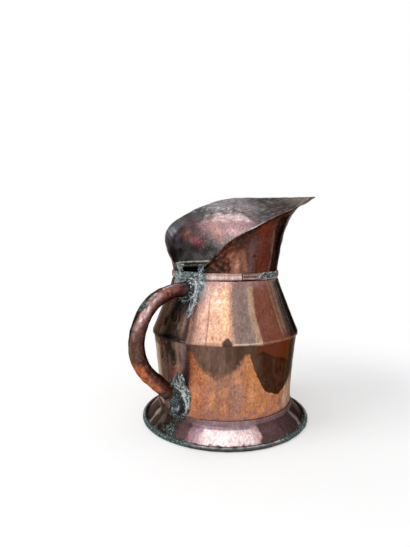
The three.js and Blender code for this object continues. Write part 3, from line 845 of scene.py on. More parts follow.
def hood_outside(points, from_rim):
    """Marks of the hood's outside: dark brown with orange, grey and red stretches, painted shade under the
    rim and a painted highlight along it, painted reflections down its right side, and painted light and
    shade on its wrinkles.
    """
    angle, height = angle_height(points)
    sway = lumps(points, 34, 91)
    streak = 0.5 + 0.5 * lumps(points * [1, 1, 0.15], 8, 97)
    wide = between(turn(angle - 231) + 2 * sway, -10, -6, 6, 9) * smooth(height + 2 * sway, 219, 208)
    brightened = smooth(lumps(points * [1, 1, 0.4], 26, 86) + 0.3 * streak, 0.1, 1.2)
    brightened = brightened * smooth(apart(angle, 256), 44, 70)
    grain = smooth(lumps(points, 9, 83), -0.8, 0.6)
    rim_glint = (0.35 + 0.4 * lumps(points, 12, 89)).clip(0, 1)
    curls = lumps(points, 5.5, 85) + 0.6 * lumps(points * [1, 1, 0.5], 3, 84)
    wavy = toward(angle, 222, 16) * bell(height, 206, 18)
    creases = toward(angle, 214, 7) * bell(height, 198, 10)
    tone = layered(painted(colour("3b221a"), "562c1f", 0.5 + 0.5 * sway), [
        ("a87458", wide * (0.45 + 0.5 * streak)),
        ("e4a88e", toward(angle, 229, 3) * bell(height, 198, 4) * (0.5 + 0.5 * streak)),
        ("b06a48", toward(angle, 120, 16) * smooth(height, 250, 200)),
        ("654a42", toward(angle, 243.5, 4.5) * smooth(height, 236, 215)),
        ("602415", 0.9 * toward(angle, 257, 9) * smooth(height, 268, 236)),
        ("2b1913", 0.85 * toward(angle, 233, 13) * bell(height, 228, 11)),
        # painted dark reflection down the hood's right side
        ("1e120e", 0.9 * smooth(angle, 268, 272) * smooth(angle + 6 * sway, 318, 290)),
        ("96583f", 0.6 * brightened * smooth(from_rim, 8, 26)),
        # a pale painted reflection in a thin upright line beside it
        ("7c6252", 0.65 * toward(angle, 268.5, 1.2) * smooth(height, 246, 226)),
        ("3c3a34", 0.85 * between(angle, 124, 134, 166, 176) * smooth(height, 240, 222)),
        ("3a2620", smooth(turn(angle - 218), 2, -8) * smooth(angle, 176, 190) * smooth(height, 236, 200)),
        # painted shade under the rim
        ("2a1a14", 0.85 * smooth(from_rim + 3 * sway, 14, 4)),
        ("8a3a24", 0.7 * toward(angle, 246, 16) * bell(height, 244, 10) * grain),
        # deeper painted shade under the rim towards the tip
        ("20140e", 0.88 * smooth(from_rim + 2 * sway, 15, 5) * smooth(angle, 232, 240)),
        # painted highlight along the rim's edge, broken up, brightest at 243 degrees
        ("a08c80", rim_glint * smooth(from_rim, 1.3, 0.6)),
        ("ece8e4", 0.8 * toward(angle, 243, 7) * smooth(from_rim, 1.6, 0.8)),
        # painted highlights and shade on the crumpled wrinkles over the neck
        ("b4664a", 0.55 * wavy * smooth(curls, 0.3, 1.2)),
        ("2a1812", 0.55 * wavy * smooth(-curls, 0.3, 1.2)),
        ("c48468", 0.5 * creases * smooth(curls, 0.0, 0.8)),
        ("241612", 0.7 * creases * (0.5 + 0.5 * wrinkles(angle))),
    ])
    film_and_reflection = -3.0 + 2.0 * lumps(points, 16, 92)
    green = 0.18 + 0.25 * smooth(height, 196, 189)
    return {"tone": tone, "film_and_reflection": film_and_reflection, "film_and_reflection_tone": colour("33231e"), "green": green, "wear_and_glints": 0.05}


def hood_inside(points, from_rim):
    """Marks of the hood's inside: tarnished grey and purple, a pink painted highlight below the far rim
    with pink painted reflections under it, painted highlights along the rim, two painted red glows, painted
    shade on the near side of the spout, and a dark foot."""
    x, y, height = points[..., 0], points[..., 1], points[..., 2]
    far = smooth(y, 5, 30)
    sway = lumps(points, 30, 93)
    ragged = 5 * lumps(points, 13, 94)
    mottle = lumps(points, 4, 90)
    drawn_out = 0.7 * lumps(points * [0.3, 1, 1], 7, 87) + 0.8 * lumps(points * [0.3, 1, 1], 3.6, 88)
    left = mix(20, 42, smooth(height, 246, 258))
    brightened = far * smooth(x + ragged, left, left + 14) * smooth(x + 0.3 * ragged, 97, 92)
    waved = height + 0.3 * mottle + 1.6 * lumps(points * [1, 1, 0], 11, 80)
    above = smooth(x + ragged, 66, 86) * smooth(x, 124, 104) * between(height, 254, 262, 271, 279)
    brightest = smooth(waved + 0.4 * mottle, 264, 262.3) * smooth(height + 0.4 * ragged, 248, 256)
    highlight_streaks = smooth(lumps(points * [0.35, 0.35, 1.6], 7, 99) + 0.4 * mottle, -0.9, 0.9)
    flecked = smooth(lumps(points * [0.6, 0.6, 1.2], 3.6, 82), 0.5, 1.2) * smooth(x, 130, 90)
    glow = 0.85 + 0.45 * mottle
    slate = smooth(lumps(points, 10, 81) + 0.5 * mottle, -0.9, 0.9)
    crusted = bell(x, 66, 13) * bell(height, 274, 6)
    crusted = crusted * smooth(lumps(points, 3, 79) + 0.5 * mottle, 0.2, 0.9)
    tone = layered(painted(colour("505050"), "706b6b", 0.5 + 0.5 * sway), [
        ("8d8585", 0.9 * between(x, 50, 80, 115, 150) * smooth(height, 264, 276)),
        ("4a4646", 0.85 * smooth(x, 112, 150)),
        ("b0a8a6", 0.45 * smooth(x, 40, 90) * smooth(drawn_out, 0.2, 1.5)),
        ("3a3636", 0.3 * smooth(x, 40, 90) * smooth(-drawn_out, 0.2, 1.5)),
        # painted highlight: the pink band below the far rim, streaked and brightest along its top
        ("ac8284", 0.9 * brightened * smooth(waved, 266, 263) * smooth(height + ragged, 228, 242)),
        ("a89294", 0.6 * far * above * smooth(drawn_out, -1.2, 0.8)),
        ("fbe4dc", brightened * brightest * (0.4 + 0.6 * highlight_streaks)),
        # pink painted reflections below the band
        ("dca898", 0.9 * far * bell(x, 50, 8) * bell(height, 238, 14)),
        ("c29e9a", 0.75 * far * bell(x, 74, 11) * bell(height, 242, 11)),
        ("543f40", 0.9 * far * bell(x, 18, 15) * bell(height, 242, 18)),
        ("d6cfce", 0.6 * flecked * far * smooth(height, 262, 268)),
        # two painted red glows on the far wall
        ("fa9c7c", glow * far * bell(x, 2, 10) * bell(height + 0.5 * ragged, 232, 6.5)),
        ("c0686c", glow * far * bell(x, 23, 8) * bell(height + 0.5 * ragged, 221, 7)),
        ("575c5e", (0.5 + 0.5 * slate) * smooth(x, 12, -12) * smooth(height, 264, 250)),
        ("b4babc", (0.4 + 0.6 * slate) * smooth(x, 4, -14) * smooth(height, 246, 232)),
        ("dde4e6", 0.8 * far * crusted),
        ("aca8b2", 0.6 * far * bell(from_rim, 5, 1.6) * bell(x, 104, 22)),
        ("8a847a", 0.75 * smooth(x, 172, 214) * smooth(y, -1, 1)),
        # painted shade on the near side of the spout's inside
        ("3e3a34", 0.8 * smooth(x, 160, 190) * smooth(y, 1, -1)),
        # painted highlight on the far rim
        ("f2f2f0", 0.9 * far * bell(x, 187, 5) * smooth(from_rim, 2, 0.8)),
        ("5a5856", 0.92 * smooth(height, 219, 209)),
        ("a8827e", 0.7 * smooth(-y, 5, 30) * bell(x, 66, 40) * bell(height + ragged, 254, 12)),
        # painted highlight along the rim's edge
        ("857d7a", 0.5 * smooth(from_rim, 2.2, 0.8)),
    ])
    film_and_reflection = -2.4 + 1.6 * lumps(points, 20, 98)
    # pale specks of wear and painted glints, most of them in the painted highlight
    wear_and_glints = 0.08 + 0.24 * brightened
    return {"tone": tone, "film_and_reflection": film_and_reflection, "film_and_reflection_tone": colour("3a3534"), "green": 0.18, "wear_and_glints": wear_and_glints}


def spout_hood():
    """The hood's middle surface thickened both ways along its normals, rounded at its edges, dented,
    with upright wrinkles over the neck beside the handle."""
    edge = SHEET / 2
    along_run = steps(HOOD_RUN, 1.75, edge)
    along = along_run / along_run[-1] * 2 - 1
    _, speed = hood_middle(along, np.zeros((len(along), 2)))
    base = np.linspace(0, 1, 74) ** 0.97
    tail = (edge * (1 - np.cos(np.radians([90, 72, 50, 25, 0]))))[None, :] / speed
    climb = np.concatenate([base[None, :-1] * (1 - 1.6 * tail[:, :1]) / base[-2], 1 - tail], axis=1)
    middle, _ = hood_middle(along, climb)
    normal = np.cross(np.gradient(middle, axis=0), np.gradient(middle, axis=1))
    normal /= np.linalg.norm(normal, axis=2, keepdims=True)
    pace = np.linalg.norm(np.diff(middle, axis=1), axis=2)
    run = np.concatenate([np.zeros((len(along), 1)), np.cumsum(pace, axis=1)], axis=1)
    from_rim = run[:, -1:] - run
    from_end = np.minimum(along_run, along_run[-1] - along_run)[:, None] * 0.9
    thick = edge * rounded(np.minimum(np.minimum(run, from_rim), from_end), edge)
    angle, height = angle_height(middle)
    free = smooth(height, HOOD_BASE, HOOD_BASE + 14) * smooth(from_end, 0, 16)
    dents = free * (0.9 * lumps(middle, 60, 95) * smooth(from_rim, 0, 12) + 0.22 * lumps(middle, 15, 96))
    wrinkled = toward(angle, WRINKLE_ANGLE, 5.5) * bell(height, 200, 11)
    dents = dents + 0.8 * wrinkled * wrinkles(angle, 5 * (height - 200))
    middle = middle + normal * dents[..., None]
    offset = normal * thick[..., None]

    def marks(points, outside):
        return hood_outside(points, from_rim) if outside else hood_inside(points, from_rim)

    return skin("Spout_hood", middle + offset, middle - offset, False, marks)


# Wire, rolled strip and handle


def plain_marks(code):
    """Marks of a piece of one tone."""
    return lambda points, outside: {"tone": colour(code)}


def foot_wire():
    """A ring of round wire that follows the rolled edge. The outer and the inner half of its section are
    the two skins."""
    middle, height = roll_centre()
    thick = WIRE_RADIUS - 0.15
    t = np.radians(np.linspace(-90, 90, 11))
    halves = []
    for side in (1, -1):
        section = np.stack([middle + side * thick * np.cos(t), height + thick * np.sin(t)], axis=1)
        halves.append(spun(section, ROUND, rim_wander(ROUND)[:, None]))
    return skin("Foot_wire", *halves, True, plain_marks("3c332e"))


def inner_bead():
    """Flat web with a round bead along its top, carried from one end of the notch to the other."""
    outer = HOOD_RADIUS - SHEET - GAP
    inner = outer - SHEET
    centre = np.array([outer - BEAD_RADIUS, BEAD_TOP - BEAD_RADIUS])
    meets = np.arcsin((inner - centre[0]) / BEAD_RADIUS)
    bead = arc(centre, BEAD_RADIUS, 0, 1.5 * np.pi + meets, 26)
    half = len(bead) // 2
    foot = (inner + 0.5, BEAD_BOTTOM)
    up = drawn(np.concatenate([[foot, (outer, BEAD_BOTTOM)], bead[: half + 1]]), 0.5, 0.2)
    down = drawn(np.concatenate([[foot, (inner, BEAD_BOTTOM)], bead[: half - 1 : -1]]), 0.5, 0.2)
    count = max(len(up), len(down))
    up, down = evened(up, count), evened(down, count)
    down[-1] = up[-1]
    end = 180 - NOTCH_HALF_ANGLE
    angle = np.linspace(-end, end, 300)
    shrink = rounded(end - np.abs(angle), 1.2)[:, None, None]
    circle = spun(np.array([(62.0, 190.0)]), angle)
    wave = (0.25 * lumps(circle, 26, 101) + 0.15 * lumps(circle, 8, 102) - 0.3)[..., None] * UP
    wave = wave * smooth(up[:, 1], BEAD_BOTTOM + 1, BEAD_TOP - 3)[None, :, None]
    core = spun((up + down) / 2, angle)
    front, back = (core + (spun(side, angle) - core) * shrink + wave for side in (up, down))
    return skin("Inner_bead", front, back, False, plain_marks("cdd3c0"))


def handle_path(count):
    """Middle line of the handle, its direction, and the direction away from the body across it."""
    flat = strung(HANDLE_LINE, count)
    line = np.stack([-flat[:, 0], 0 * flat[:, 0], flat[:, 1]], axis=1)
    ahead = np.gradient(line, axis=0)
    ahead /= np.linalg.norm(ahead, axis=1, keepdims=True)
    across = np.cross(np.array([0.0, 1.0, 0.0]), ahead)
    return line, ahead, across


def tube_surface(radius, where, angle):
    """Points of the handle's surface at fractions of its length (where[i, j]) and angles round it."""
    fractions = np.linspace(0, 1, FINE_PATH)
    centre, ahead, out = (read_at(where, fractions, line) for line in handle_path(FINE_PATH))
    out /= np.linalg.norm(out, axis=-1, keepdims=True)
    side = np.cross(ahead, out)
    side /= np.linalg.norm(side, axis=-1, keepdims=True)
    a = np.radians(angle)[:, None, None]
    return centre + radius[..., None] * (out * np.cos(a) + side * np.sin(a))


def handle_tube():
    """A bent tube. Each line along it starts and ends where it meets the body's wall."""
    angle = np.arange(72) * 5.0
    trial = np.broadcast_to(np.linspace(0, 1, 1200), (72, 1200))
    points = tube_surface(np.full(trial.shape, TUBE_RADIUS), trial, angle)
    outside = np.hypot(points[..., 0], points[..., 1]) > outer_wall(points[..., 2]) + 0.2
    first = trial[0][outside.argmax(axis=1)]
    last = trial[0][-1 - outside[:, ::-1].argmax(axis=1)]
    length = measured(handle_path(FINE_PATH)[0])[-1]
    even = steps(length, 1.1, SHEET / 2) / length
    where = first[:, None] + (last - first)[:, None] * even[None, :]
    points = tube_surface(np.full(where.shape, TUBE_RADIUS), where, angle)
    dents = 0.45 * lumps(points, 34, 111) + 0.22 * lumps(points, 11, 112)
    bend = bell(where, 0.36, 0.05) * toward(angle[:, None], 300, 60)
    dents = dents - 0.5 - 0.5 * bend * (1 + lumps(points, 9, 113))
    room = np.minimum(even, 1 - even)[None, :] * length
    dents = np.minimum(dents, -0.05) * smooth(room, 2, 14) - 0.02
    front = tube_surface(TUBE_RADIUS + dents, where, angle)
    back = tube_surface(TUBE_RADIUS + dents - SHEET * rounded(room, SHEET), where, angle)
    return skin("Handle", front, back, True, handle_marks)


def round_tube(points):
    """Distance of points to the handle's middle line, and how far out from the body across it they lie."""
    line, _, across = handle_path(COARSE_PATH)
    least = np.full(points.shape[:-1], np.inf)
    out = np.zeros(points.shape[:-1])
    for p, away in zip(line, across):
        gap = ((points - p) ** 2).sum(axis=-1)
        out = np.where(gap < least, (points - p) @ away, out)
        least = np.minimum(gap, least)
    return np.sqrt(least), out


def handle_marks(points, outside):
    """Marks of the handle: red-brown, with painted shade along both of its edges and dark where soot has
    stayed, a pink painted highlight and a pale painted streak along its top, and an orange painted
    highlight low down."""
    x, y, height = points[..., 0], points[..., 1], points[..., 2]
    out = round_tube(points)[1] / TUBE_RADIUS
    inner = -0.62 * out - 0.79 * y / TUBE_RADIUS
    curls = lumps(points, 6, 119)
    shine = inner - mix(-0.2, 0.28, smooth(height, 132, 154))
    brightened = between(height, 56, 66, 93, 101) * smooth(inner, 0.6, 0.25)
    brushed = smooth(lumps(points * [1, 1, 0.6], 4, 110), 0.4, 1.0)
    dark = smooth(lumps(points * [1, 1, 0.5], 12, 118) + 0.4 * lumps(points, 4, 114), 0.1, 0.8)
    edge = bell(inner + 0.06 * curls, -0.21, 0.13) * smooth(curls, -1.0, 0.0)
    reach = np.hypot(x, y) + 2.5 * curls
    root = smooth(height, 120, 140)
    sway = lumps(points, 20, 115)
    tone = layered(painted(colour("5c3226"), "82503c", 0.5 + 0.5 * sway), [
        ("9e5844", 0.85 * smooth(y, -2, -6) * smooth(x, -126, -112) * bell(height, 167, 10)),
        ("56392e", 0.8 * between(height, 92, 104, 134, 146)),
        ("7c6a44", 0.6 * smooth(-inner, 0.3, 0.7) * bell(height, 112, 14)),
        # pink to white painted highlight along the tube
        ("dca8a0", 0.92 * bell(height, 149, 15) * bell(shine, 0, 0.45) * smooth(x, -108, -122)),
        ("fff0ec", 0.95 * bell(height, 150, 14) * bell(shine, 0, 0.34) * smooth(curls, -0.1, 0.5)),
        # orange painted highlight low down, brushed darker in streaks
        ("c46f46", brightened * (0.9 + 0.5 * lumps(points, 10, 116))),
        ("8e3a24", 0.7 * brightened * brushed),
        ("26170f", 0.9 * dark * bell(height, 110, 22) * smooth(inner, -0.5, 0.2)),
        # painted shade along one side of the tube
        ("3c241c", 0.8 * smooth(inner + 0.12 * curls, 0.35, 0.85)),
        # painted shade along the other side, high up
        ("2a2220", 0.85 * smooth(-inner + 0.1 * curls, 0.02, 0.4) * smooth(height, 128, 146)),
        # painted highlight: a pale streak along the top outer edge
        ("dcd8d8", 0.9 * edge * bell(x, -112, 22) * smooth(height, 150, 158)),
        # painted shade at the far edge of that side
        ("2e2622", 0.7 * smooth(-inner, 0.72, 0.95)),
        ("544a46", 0.9 * smooth(height + 3 * sway, 66, 52)),
        ("5c4c50", 0.8 * root * smooth(reach, 92, 82)),
        ("2a3036", 0.85 * root * smooth(reach, 83, 77)),
    ])
    film_and_reflection = 2.0 * lumps(points, 13, 117) - 2.9
    green = 0.17 + 0.5 * bell(height, 157, 7) * bell(x, -139, 7)
    green = green + 0.25 * smooth(out, 0.6, 0.9) * smooth(height, 128, 146)
    green = green + 0.75 * smooth(reach, 110, 99) * smooth(height, 90, 70)
    tone = tone if outside else TARNISH
    return {"tone": tone, "film_and_reflection": film_and_reflection, "film_and_reflection_tone": colour("33211c"), "green": green, "wear_and_glints": 0.1}


# Solder. A crust is a patch of the wall raised inside a ragged outline and sunk into it outside.


def thread(angle, height, start, end):
    """A fine line between two places (angle, height), a little crooked."""
    level = (height - start[1]) / (end[1] - start[1])
    middle = mix(start[0], end[0], level) + 0.35 * np.sin(height * 0.9)
    return bell(turn(angle - middle) * 1.2, 0, 0.42) * between(level, -0.08, 0.05, 0.95, 1.08)


def crust(name, angle_range, height_range, lobes, high, climb, seed, ground_marks, ring=(0, 0), threads=(),
          fine=0.8, hollow=0.0, outline=0.0):
    """A crust on the wall, raised high millimetres above it. lobes are (angle, height, half width, half
    height) of the ellipses that make its outline. climb is how far it rises along the handle's tube. ring
    is the distance of a pale line from that tube and the angle from which it starts. threads are pale
    lines. ground_marks gives the tone under its thin border, fine is the width of its faces, hollow
    darkens it, and outline is the strength of a pale border."""
    radius = float(np.mean(outer_wall(np.array(height_range, float))))
    wide = np.radians(angle_range[1] - angle_range[0]) * radius
    angle = np.linspace(*angle_range, int(wide / fine) + 2)
    height = np.linspace(*height_range, int((height_range[1] - height_range[0]) / fine) + 2)
    wall = outer_wall(height)[None, :] + wall_dents(angle, height)
    line = np.stack([0 * height, height], axis=1)
    ground = spun(line, angle, wall)
    inside = np.full(wall.shape, -9.0)
    for middle, level, half_wide, half_high in lobes:
        across = np.radians(turn(angle - middle))[:, None] * wall / half_wide
        inside = np.maximum(inside, 1 - np.hypot(across, (height - level)[None, :] / half_high))
    inside = inside + 0.07 * lumps(ground, 13, seed) + 0.045 * lumps(ground, 4.5, seed + 1)
    rough = 0.4 * lumps(ground, 8, seed + 2) + 0.35 * lumps(ground, 2.2, seed + 3)
    from_tube = round_tube(ground)[0] - TUBE_RADIUS
    close = np.exp(-np.clip(from_tube, 0, 60) / (0.42 * climb + 0.01))
    rise = -CRUST_SUNK + (high + CRUST_SUNK) * smooth(inside, -0.03, 0.3) * (1 + 0.3 * rough)
    rise = rise + climb * close * (1 + 0.2 * rough) * smooth(inside, -0.15, 0.1)
    border = np.ones(wall.shape, bool)
    border[1:-1, 1:-1] = False
    rise = np.where(border, -CRUST_SUNK, np.maximum(rise, -CRUST_SUNK))

    pale = bell(from_tube + 0.6 * lumps(ground, 9, seed + 4), ring[0], 0.7)
    pale = pale * smooth(angle, ring[1], ring[1] + 4)[:, None]
    for start, end in threads:
        pale = np.maximum(pale, thread(angle[:, None], height[None, :], start, end))
    pale = np.maximum(pale, outline * bell(inside, 0.16, 0.07))
    shade = rough - hollow - 3.2 * bell(from_tube, 0.2 * ring[0], 0.5 * ring[0] + 0.01)
    shade = shade - 0.7 * smooth(height, 178, 182) - 1.5 * bell(height, 152, 14)
    marks = {"depth": inside, "rise": shade, "line": pale, "tone": ground_marks(ground, True)["tone"]}
    front, back = spun(line, angle, wall + rise), spun(line, angle, wall - CRUST_BACK)
    return skin(name, front, back, False, lambda points, outside: marks)


UPPER_LOBES = [
    (180, 168, 16, 14), (189.5, 173, 11.5, 11), (191, 163, 7, 13), (189, 151, 4.5, 11),
    (187.5, 143, 3, 6), (180, 184, 25, 6), (163, 184.5, 14, 5), (168, 172, 11, 10), (161, 177, 10, 8),
    (194, 183, 8, 6),
]
UPPER_THREADS = [((191.2, 160), (188.4, 139)), ((193.0, 168), (190.4, 148)), ((186.5, 156), (187.6, 146))]
LOWER_LOBES = [(178, 46, 16, 20), (185, 44, 11, 19), (181, 63, 10, 12), (177, 34, 12, 10)]
LOWER_THREADS = [
    ((180.5, 72), (183.5, 60)), ((186.5, 60), (187.5, 50)), ((190.2, 50), (189.5, 36)),
    ((178, 66), (181, 56)),
]
PATCH_LOBES = [(266, 184.0, 14, 4.8), (276, 185.0, 13, 4.6), (258.5, 182.8, 7, 3.2)]


def upper_solder():
    """Crust round the handle's upper end, over the ledge and on to the neck band."""
    return crust("Upper_solder", (148, 212), (136, 188.1), UPPER_LOBES, 0.9, 5, 121, shoulder_marks,
                 ring=(4.6, 180), threads=UPPER_THREADS)


def lower_solder():
    """Leaf of solder round the handle's lower end."""
    return crust("Lower_solder", (160, 200), (24.5, 79), LOWER_LOBES, 0.8, 7, 131, body_marks,
                 ring=(3.4, 171), threads=LOWER_THREADS, hollow=1.5)


def neck_patch():
    """Patch of solder on the neck band below the spout."""
    heights = (BAND_BOTTOM - 1.5, BAND_TOP)
    return crust("Neck_solder_patch", (250, 292), heights, PATCH_LOBES, 0.9, 0, 141, band_marks,
                 fine=0.5, hollow=1.0, outline=1.0)


def end_solder(name, side, seed):
    """Lump of solder on the foot of one end of the hood: two half shells of a ball pushed about. side is 1
    for the left end and -1 for the right one."""
    t = np.sin(np.radians(np.linspace(-90, 90, 41)))
    u, v = np.meshgrid(t, t, indexing="ij")
    x, y = u * np.sqrt(1 - v**2 / 2), v * np.sqrt(1 - u**2 / 2)
    deep = np.sqrt(np.clip(1 - x**2 - y**2, 0, 1))
    a = side * (180 - NOTCH_HALF_ANGLE)
    wide, tall, thick = END_LUMP_HALF
    centre = END_LUMP_PLACE[0] * outward(a) + END_LUMP_PLACE[1] * UP
    flat = x[..., None] * wide * outward(a + 90) + y[..., None] * tall * UP
    shells = []
    for facing in (1, -1):
        grid = centre + flat + facing * deep[..., None] * thick * outward(a)
        push = 1 + 0.16 * lumps(grid, 5, seed) + 0.1 * lumps(grid, 2.2, seed + 1)
        shells.append(centre + (grid - centre) * push[..., None])

    def marks(points, outside):
        rise = lumps(points, 3, seed + 2) - 0.9 + 1.2 * side
        return {"depth": 0.5, "rise": rise, "line": 0, "tone": colour("8a7a70")}

    return skin(name, *shells, False, marks)


# Finishes


class Finish:
    """A node material in the making, with its pattern on object coordinates in millimetres."""

    def __init__(self, name):
        self.material = bpy.data.materials.new(name)
        self.material.use_nodes = True
        self.tree = self.material.node_tree
        self.tree.nodes.clear()
        self.shader = self.add("ShaderNodeBsdfPrincipled")
        self.end = self.add("ShaderNodeOutputMaterial", {"Surface": self.shader.outputs[0]})
        self.place = self.add("ShaderNodeTexCoord").outputs["Object"]

    def add(self, kind, inputs=None, **settings):
        """A new node with these settings and inputs."""
        node = self.tree.nodes.new(kind)
        for key, value in settings.items():
            setattr(node, key, value)
        self.feed(node, inputs or {})
        return node

    def feed(self, node, inputs):
        """Gives a node's inputs what they read: a socket to be linked, one or more numbers, or a colour."""
        for key, value in inputs.items():
            socket = node.inputs[key]
            if isinstance(value, bpy.types.NodeSocket):
                self.tree.links.new(value, socket)
            elif socket.type == "RGBA":
                socket.default_value = (*value, 1)
            else:
                socket.default_value = value

    def noise(self, size, detail, rough, shift, stretch=(1, 1, 1)):
        """Noise from 0 to 1 whose grains are about size millimetres, longer where stretch is above 1."""
        scale = [1 / (size * MM * s) for s in stretch]
        moved = (shift, shift * 1.7, shift * 2.3)
        place = self.add("ShaderNodeMapping", {"Vector": self.place, "Scale": scale, "Location": moved})
        grains = {"Vector": place.outputs[0], "Scale": 1.0, "Detail": detail, "Roughness": rough}
        return self.add("ShaderNodeTexNoise", grains).outputs[0]

    def stored(self, name, outlet="Fac"):
        """A number, or with the outlet Color a colour, stored on the vertices."""
        return self.add("ShaderNodeAttribute", attribute_name=name).outputs[outlet]

    def math(self, operation, *values):
        """One sum, product or the like."""
        return self.add("ShaderNodeMath", dict(enumerate(values)), operation=operation).outputs[0]

    def step(self, value, low, high):
        """Smooth step between two thresholds."""
        ends = {"Value": value, "From Min": low, "From Max": high}
        return self.add("ShaderNodeMapRange", ends, interpolation_type="SMOOTHSTEP").outputs[0]

    def scale(self, value, low, high):
        """0 to 1 carried to low to high."""
        return self.add("ShaderNodeMapRange", {"Value": value, "To Min": low, "To Max": high}).outputs[0]

    def mix(self, share, a, b, way="MIX"):
        """Colour mix."""
        inputs = {0: share, 6: a, 7: b}
        return self.add("ShaderNodeMix", inputs, data_type="RGBA", blend_type=way).outputs[2]

    def times(self, a, b):
        """Two colours multiplied."""
        return self.mix(1.0, a, b, "MULTIPLY")

    def lit(self, tone, share, by):
        """The tone, by times as bright where share is 1."""
        return self.mix(share, tone, self.times(tone, (by, by, by)))

    def over(self, tone, share, most, code):
        """A colour laid over the tone, as thickly as most where share is 1."""
        return self.mix(self.scale(share, 0, most), tone, colour(code))

    def bumps(self, *heights):
        """Normal over bumps laid one on another, as (height from 0 to 1, its size in millimetres)."""
        under = {}
        for height, size in heights:
            inputs = {"Strength": 1.0, "Distance": size * MM, "Height": height, **under}
            bump = self.add("ShaderNodeBump", inputs)
            under = {"Normal": bump.outputs[0]}
        return bump.outputs[0]

    def finish(self, **inputs):
        """The material, with these inputs of its shader. An underscore stands for a space."""
        self.feed(self.shader, {key.replace("_", " "): value for key, value in inputs.items()})
        return self.material


def old_copper(name, gloss, film_and_reflection=True, shift=0, bright=0.3, streaks=0.12):
    """Old copper. The vertices give its tone, how deep they lie inside dark film and painted dark
    reflection, how green it is, and its specks of wear and painted glints. Noise adds upright wiping
    streaks, mottle, fine grain lit as painted glints, dark flecks and pits, scratches and crusts of
    verdigris."""
    f = Finish(name)
    streak = f.noise(2.2, 3, 0.6, shift, (1, 1, 14))
    mottle = f.noise(7, 4, 0.6, shift + 3, (1, 1, 1.6))
    fine = f.noise(1.5, 2, 0.6, shift + 5, (1, 1, 1.6))
    cloud = f.noise(18, 3, 0.55, shift + 23, (1, 1, 1.5))
    dust = f.noise(1.9, 2, 0.7, shift + 31, (1, 1, 1.5))
    flecks = f.step(f.noise(2.6, 4, 0.75, shift + 37, (1, 1, 1.8)), 0.56, 0.66)
    scratch = f.step(f.noise(0.8, 1, 0.4, shift + 29, (1, 1.6, 26)), 0.66, 0.74)
    scratch = f.math("MULTIPLY", scratch, f.step(cloud, 0.4, 0.6))
    low, high = 1 - 1.3 * streaks, 1 + streaks
    wiped = f.mix(f.step(streak, 0.3, 0.7), (low, low, 1.04 * low), (high, 1.01 * high, 1.08 * high))
    dusty = f.mix(f.step(dust, 0.3, 0.7), (0.8, 0.79, 0.78), (1.17, 1.18, 1.2))
    tone = f.times(f.times(f.stored("tone", "Color"), wiped), dusty)
    tone = f.over(tone, f.math("MULTIPLY", flecks, f.step(cloud, 0.35, 0.55)), 0.375, "4a2a20")
    tone = f.over(tone, f.step(mottle, 0.46, 0.72), 0.22, "5a3a2e")
    tone = f.lit(tone, f.step(mottle, 0.46, 0.3), 1.2)
    tone = f.over(tone, f.step(cloud, 0.5, 0.72), 0.18, "7c6a68")
    # fine grain lit up as painted glints
    tone = f.lit(tone, f.scale(f.step(fine, 0.55, 0.8), 0, bright), 1.7)
    rough = f.scale(mottle, gloss - 0.06, gloss + 0.12)
    if film_and_reflection:
        uneven = f.math("SUBTRACT", f.noise(3.4, 4, 0.6, shift + 7, (1, 1, 1.4)), 0.5)
        dark = f.step(f.math("MULTIPLY_ADD", uneven, 3.0, f.stored("film_and_reflection")), -0.7, 0.9)
        shade = f.times(f.mix(mottle, (0.7, 0.68, 0.66), (1.35, 1.32, 1.3)), wiped)
        tone = f.mix(f.scale(dark, 0, 0.95), tone, f.times(f.stored("film_and_reflection_tone", "Color"), shade))
        rough = f.math("MULTIPLY_ADD", dark, 0.05, rough)
    tone = f.lit(tone, f.scale(scratch, 0, bright), 2.4)
    tone = f.over(tone, f.step(f.noise(2.0, 2, 0.6, shift + 11, (1, 1, 1.3)), 0.69, 0.74), 0.6, "2a1c18")
    # pale specks of wear and painted glints
    worn_and_glinting = f.math("MULTIPLY", f.stored("wear_and_glints"), f.step(f.noise(2.6, 2, 0.7, shift + 41), 0.5, 0.62))
    tone = f.mix(worn_and_glinting, tone, f.mix(0.45, f.times(tone, (1.5, 1.5, 1.5)), colour("fff0e8")))
    patch = f.math("SUBTRACT", f.noise(4.5, 5, 0.7, shift + 13), 0.5)
    grain = f.noise(1.8, 4, 0.75, shift + 17)
    green = f.step(f.math("MULTIPLY_ADD", patch, 1.7, f.stored("green")), 0.6, 0.8)
    crusty = f.mix(f.step(grain, 0.42, 0.62), colour("1e2627"), colour("64807c"))
    crusty = f.mix(f.step(grain, 0.57, 0.66), crusty, colour("c2d0ca"))
    tone = f.mix(f.scale(green, 0, 0.92), tone, crusty)
    crust_height = f.math("MULTIPLY", green, grain)
    normal = f.bumps((mottle, 0.18), (streak, 0.05), (scratch, 0.04), (crust_height, 0.5))
    return f.finish(Base_Color=tone, Metallic=f.scale(green, 1.0, 0.15), Normal=normal,
                    Roughness=f.math("MULTIPLY_ADD", green, 0.4, rough), Specular_Tint=(0.5, 0.44, 0.4))


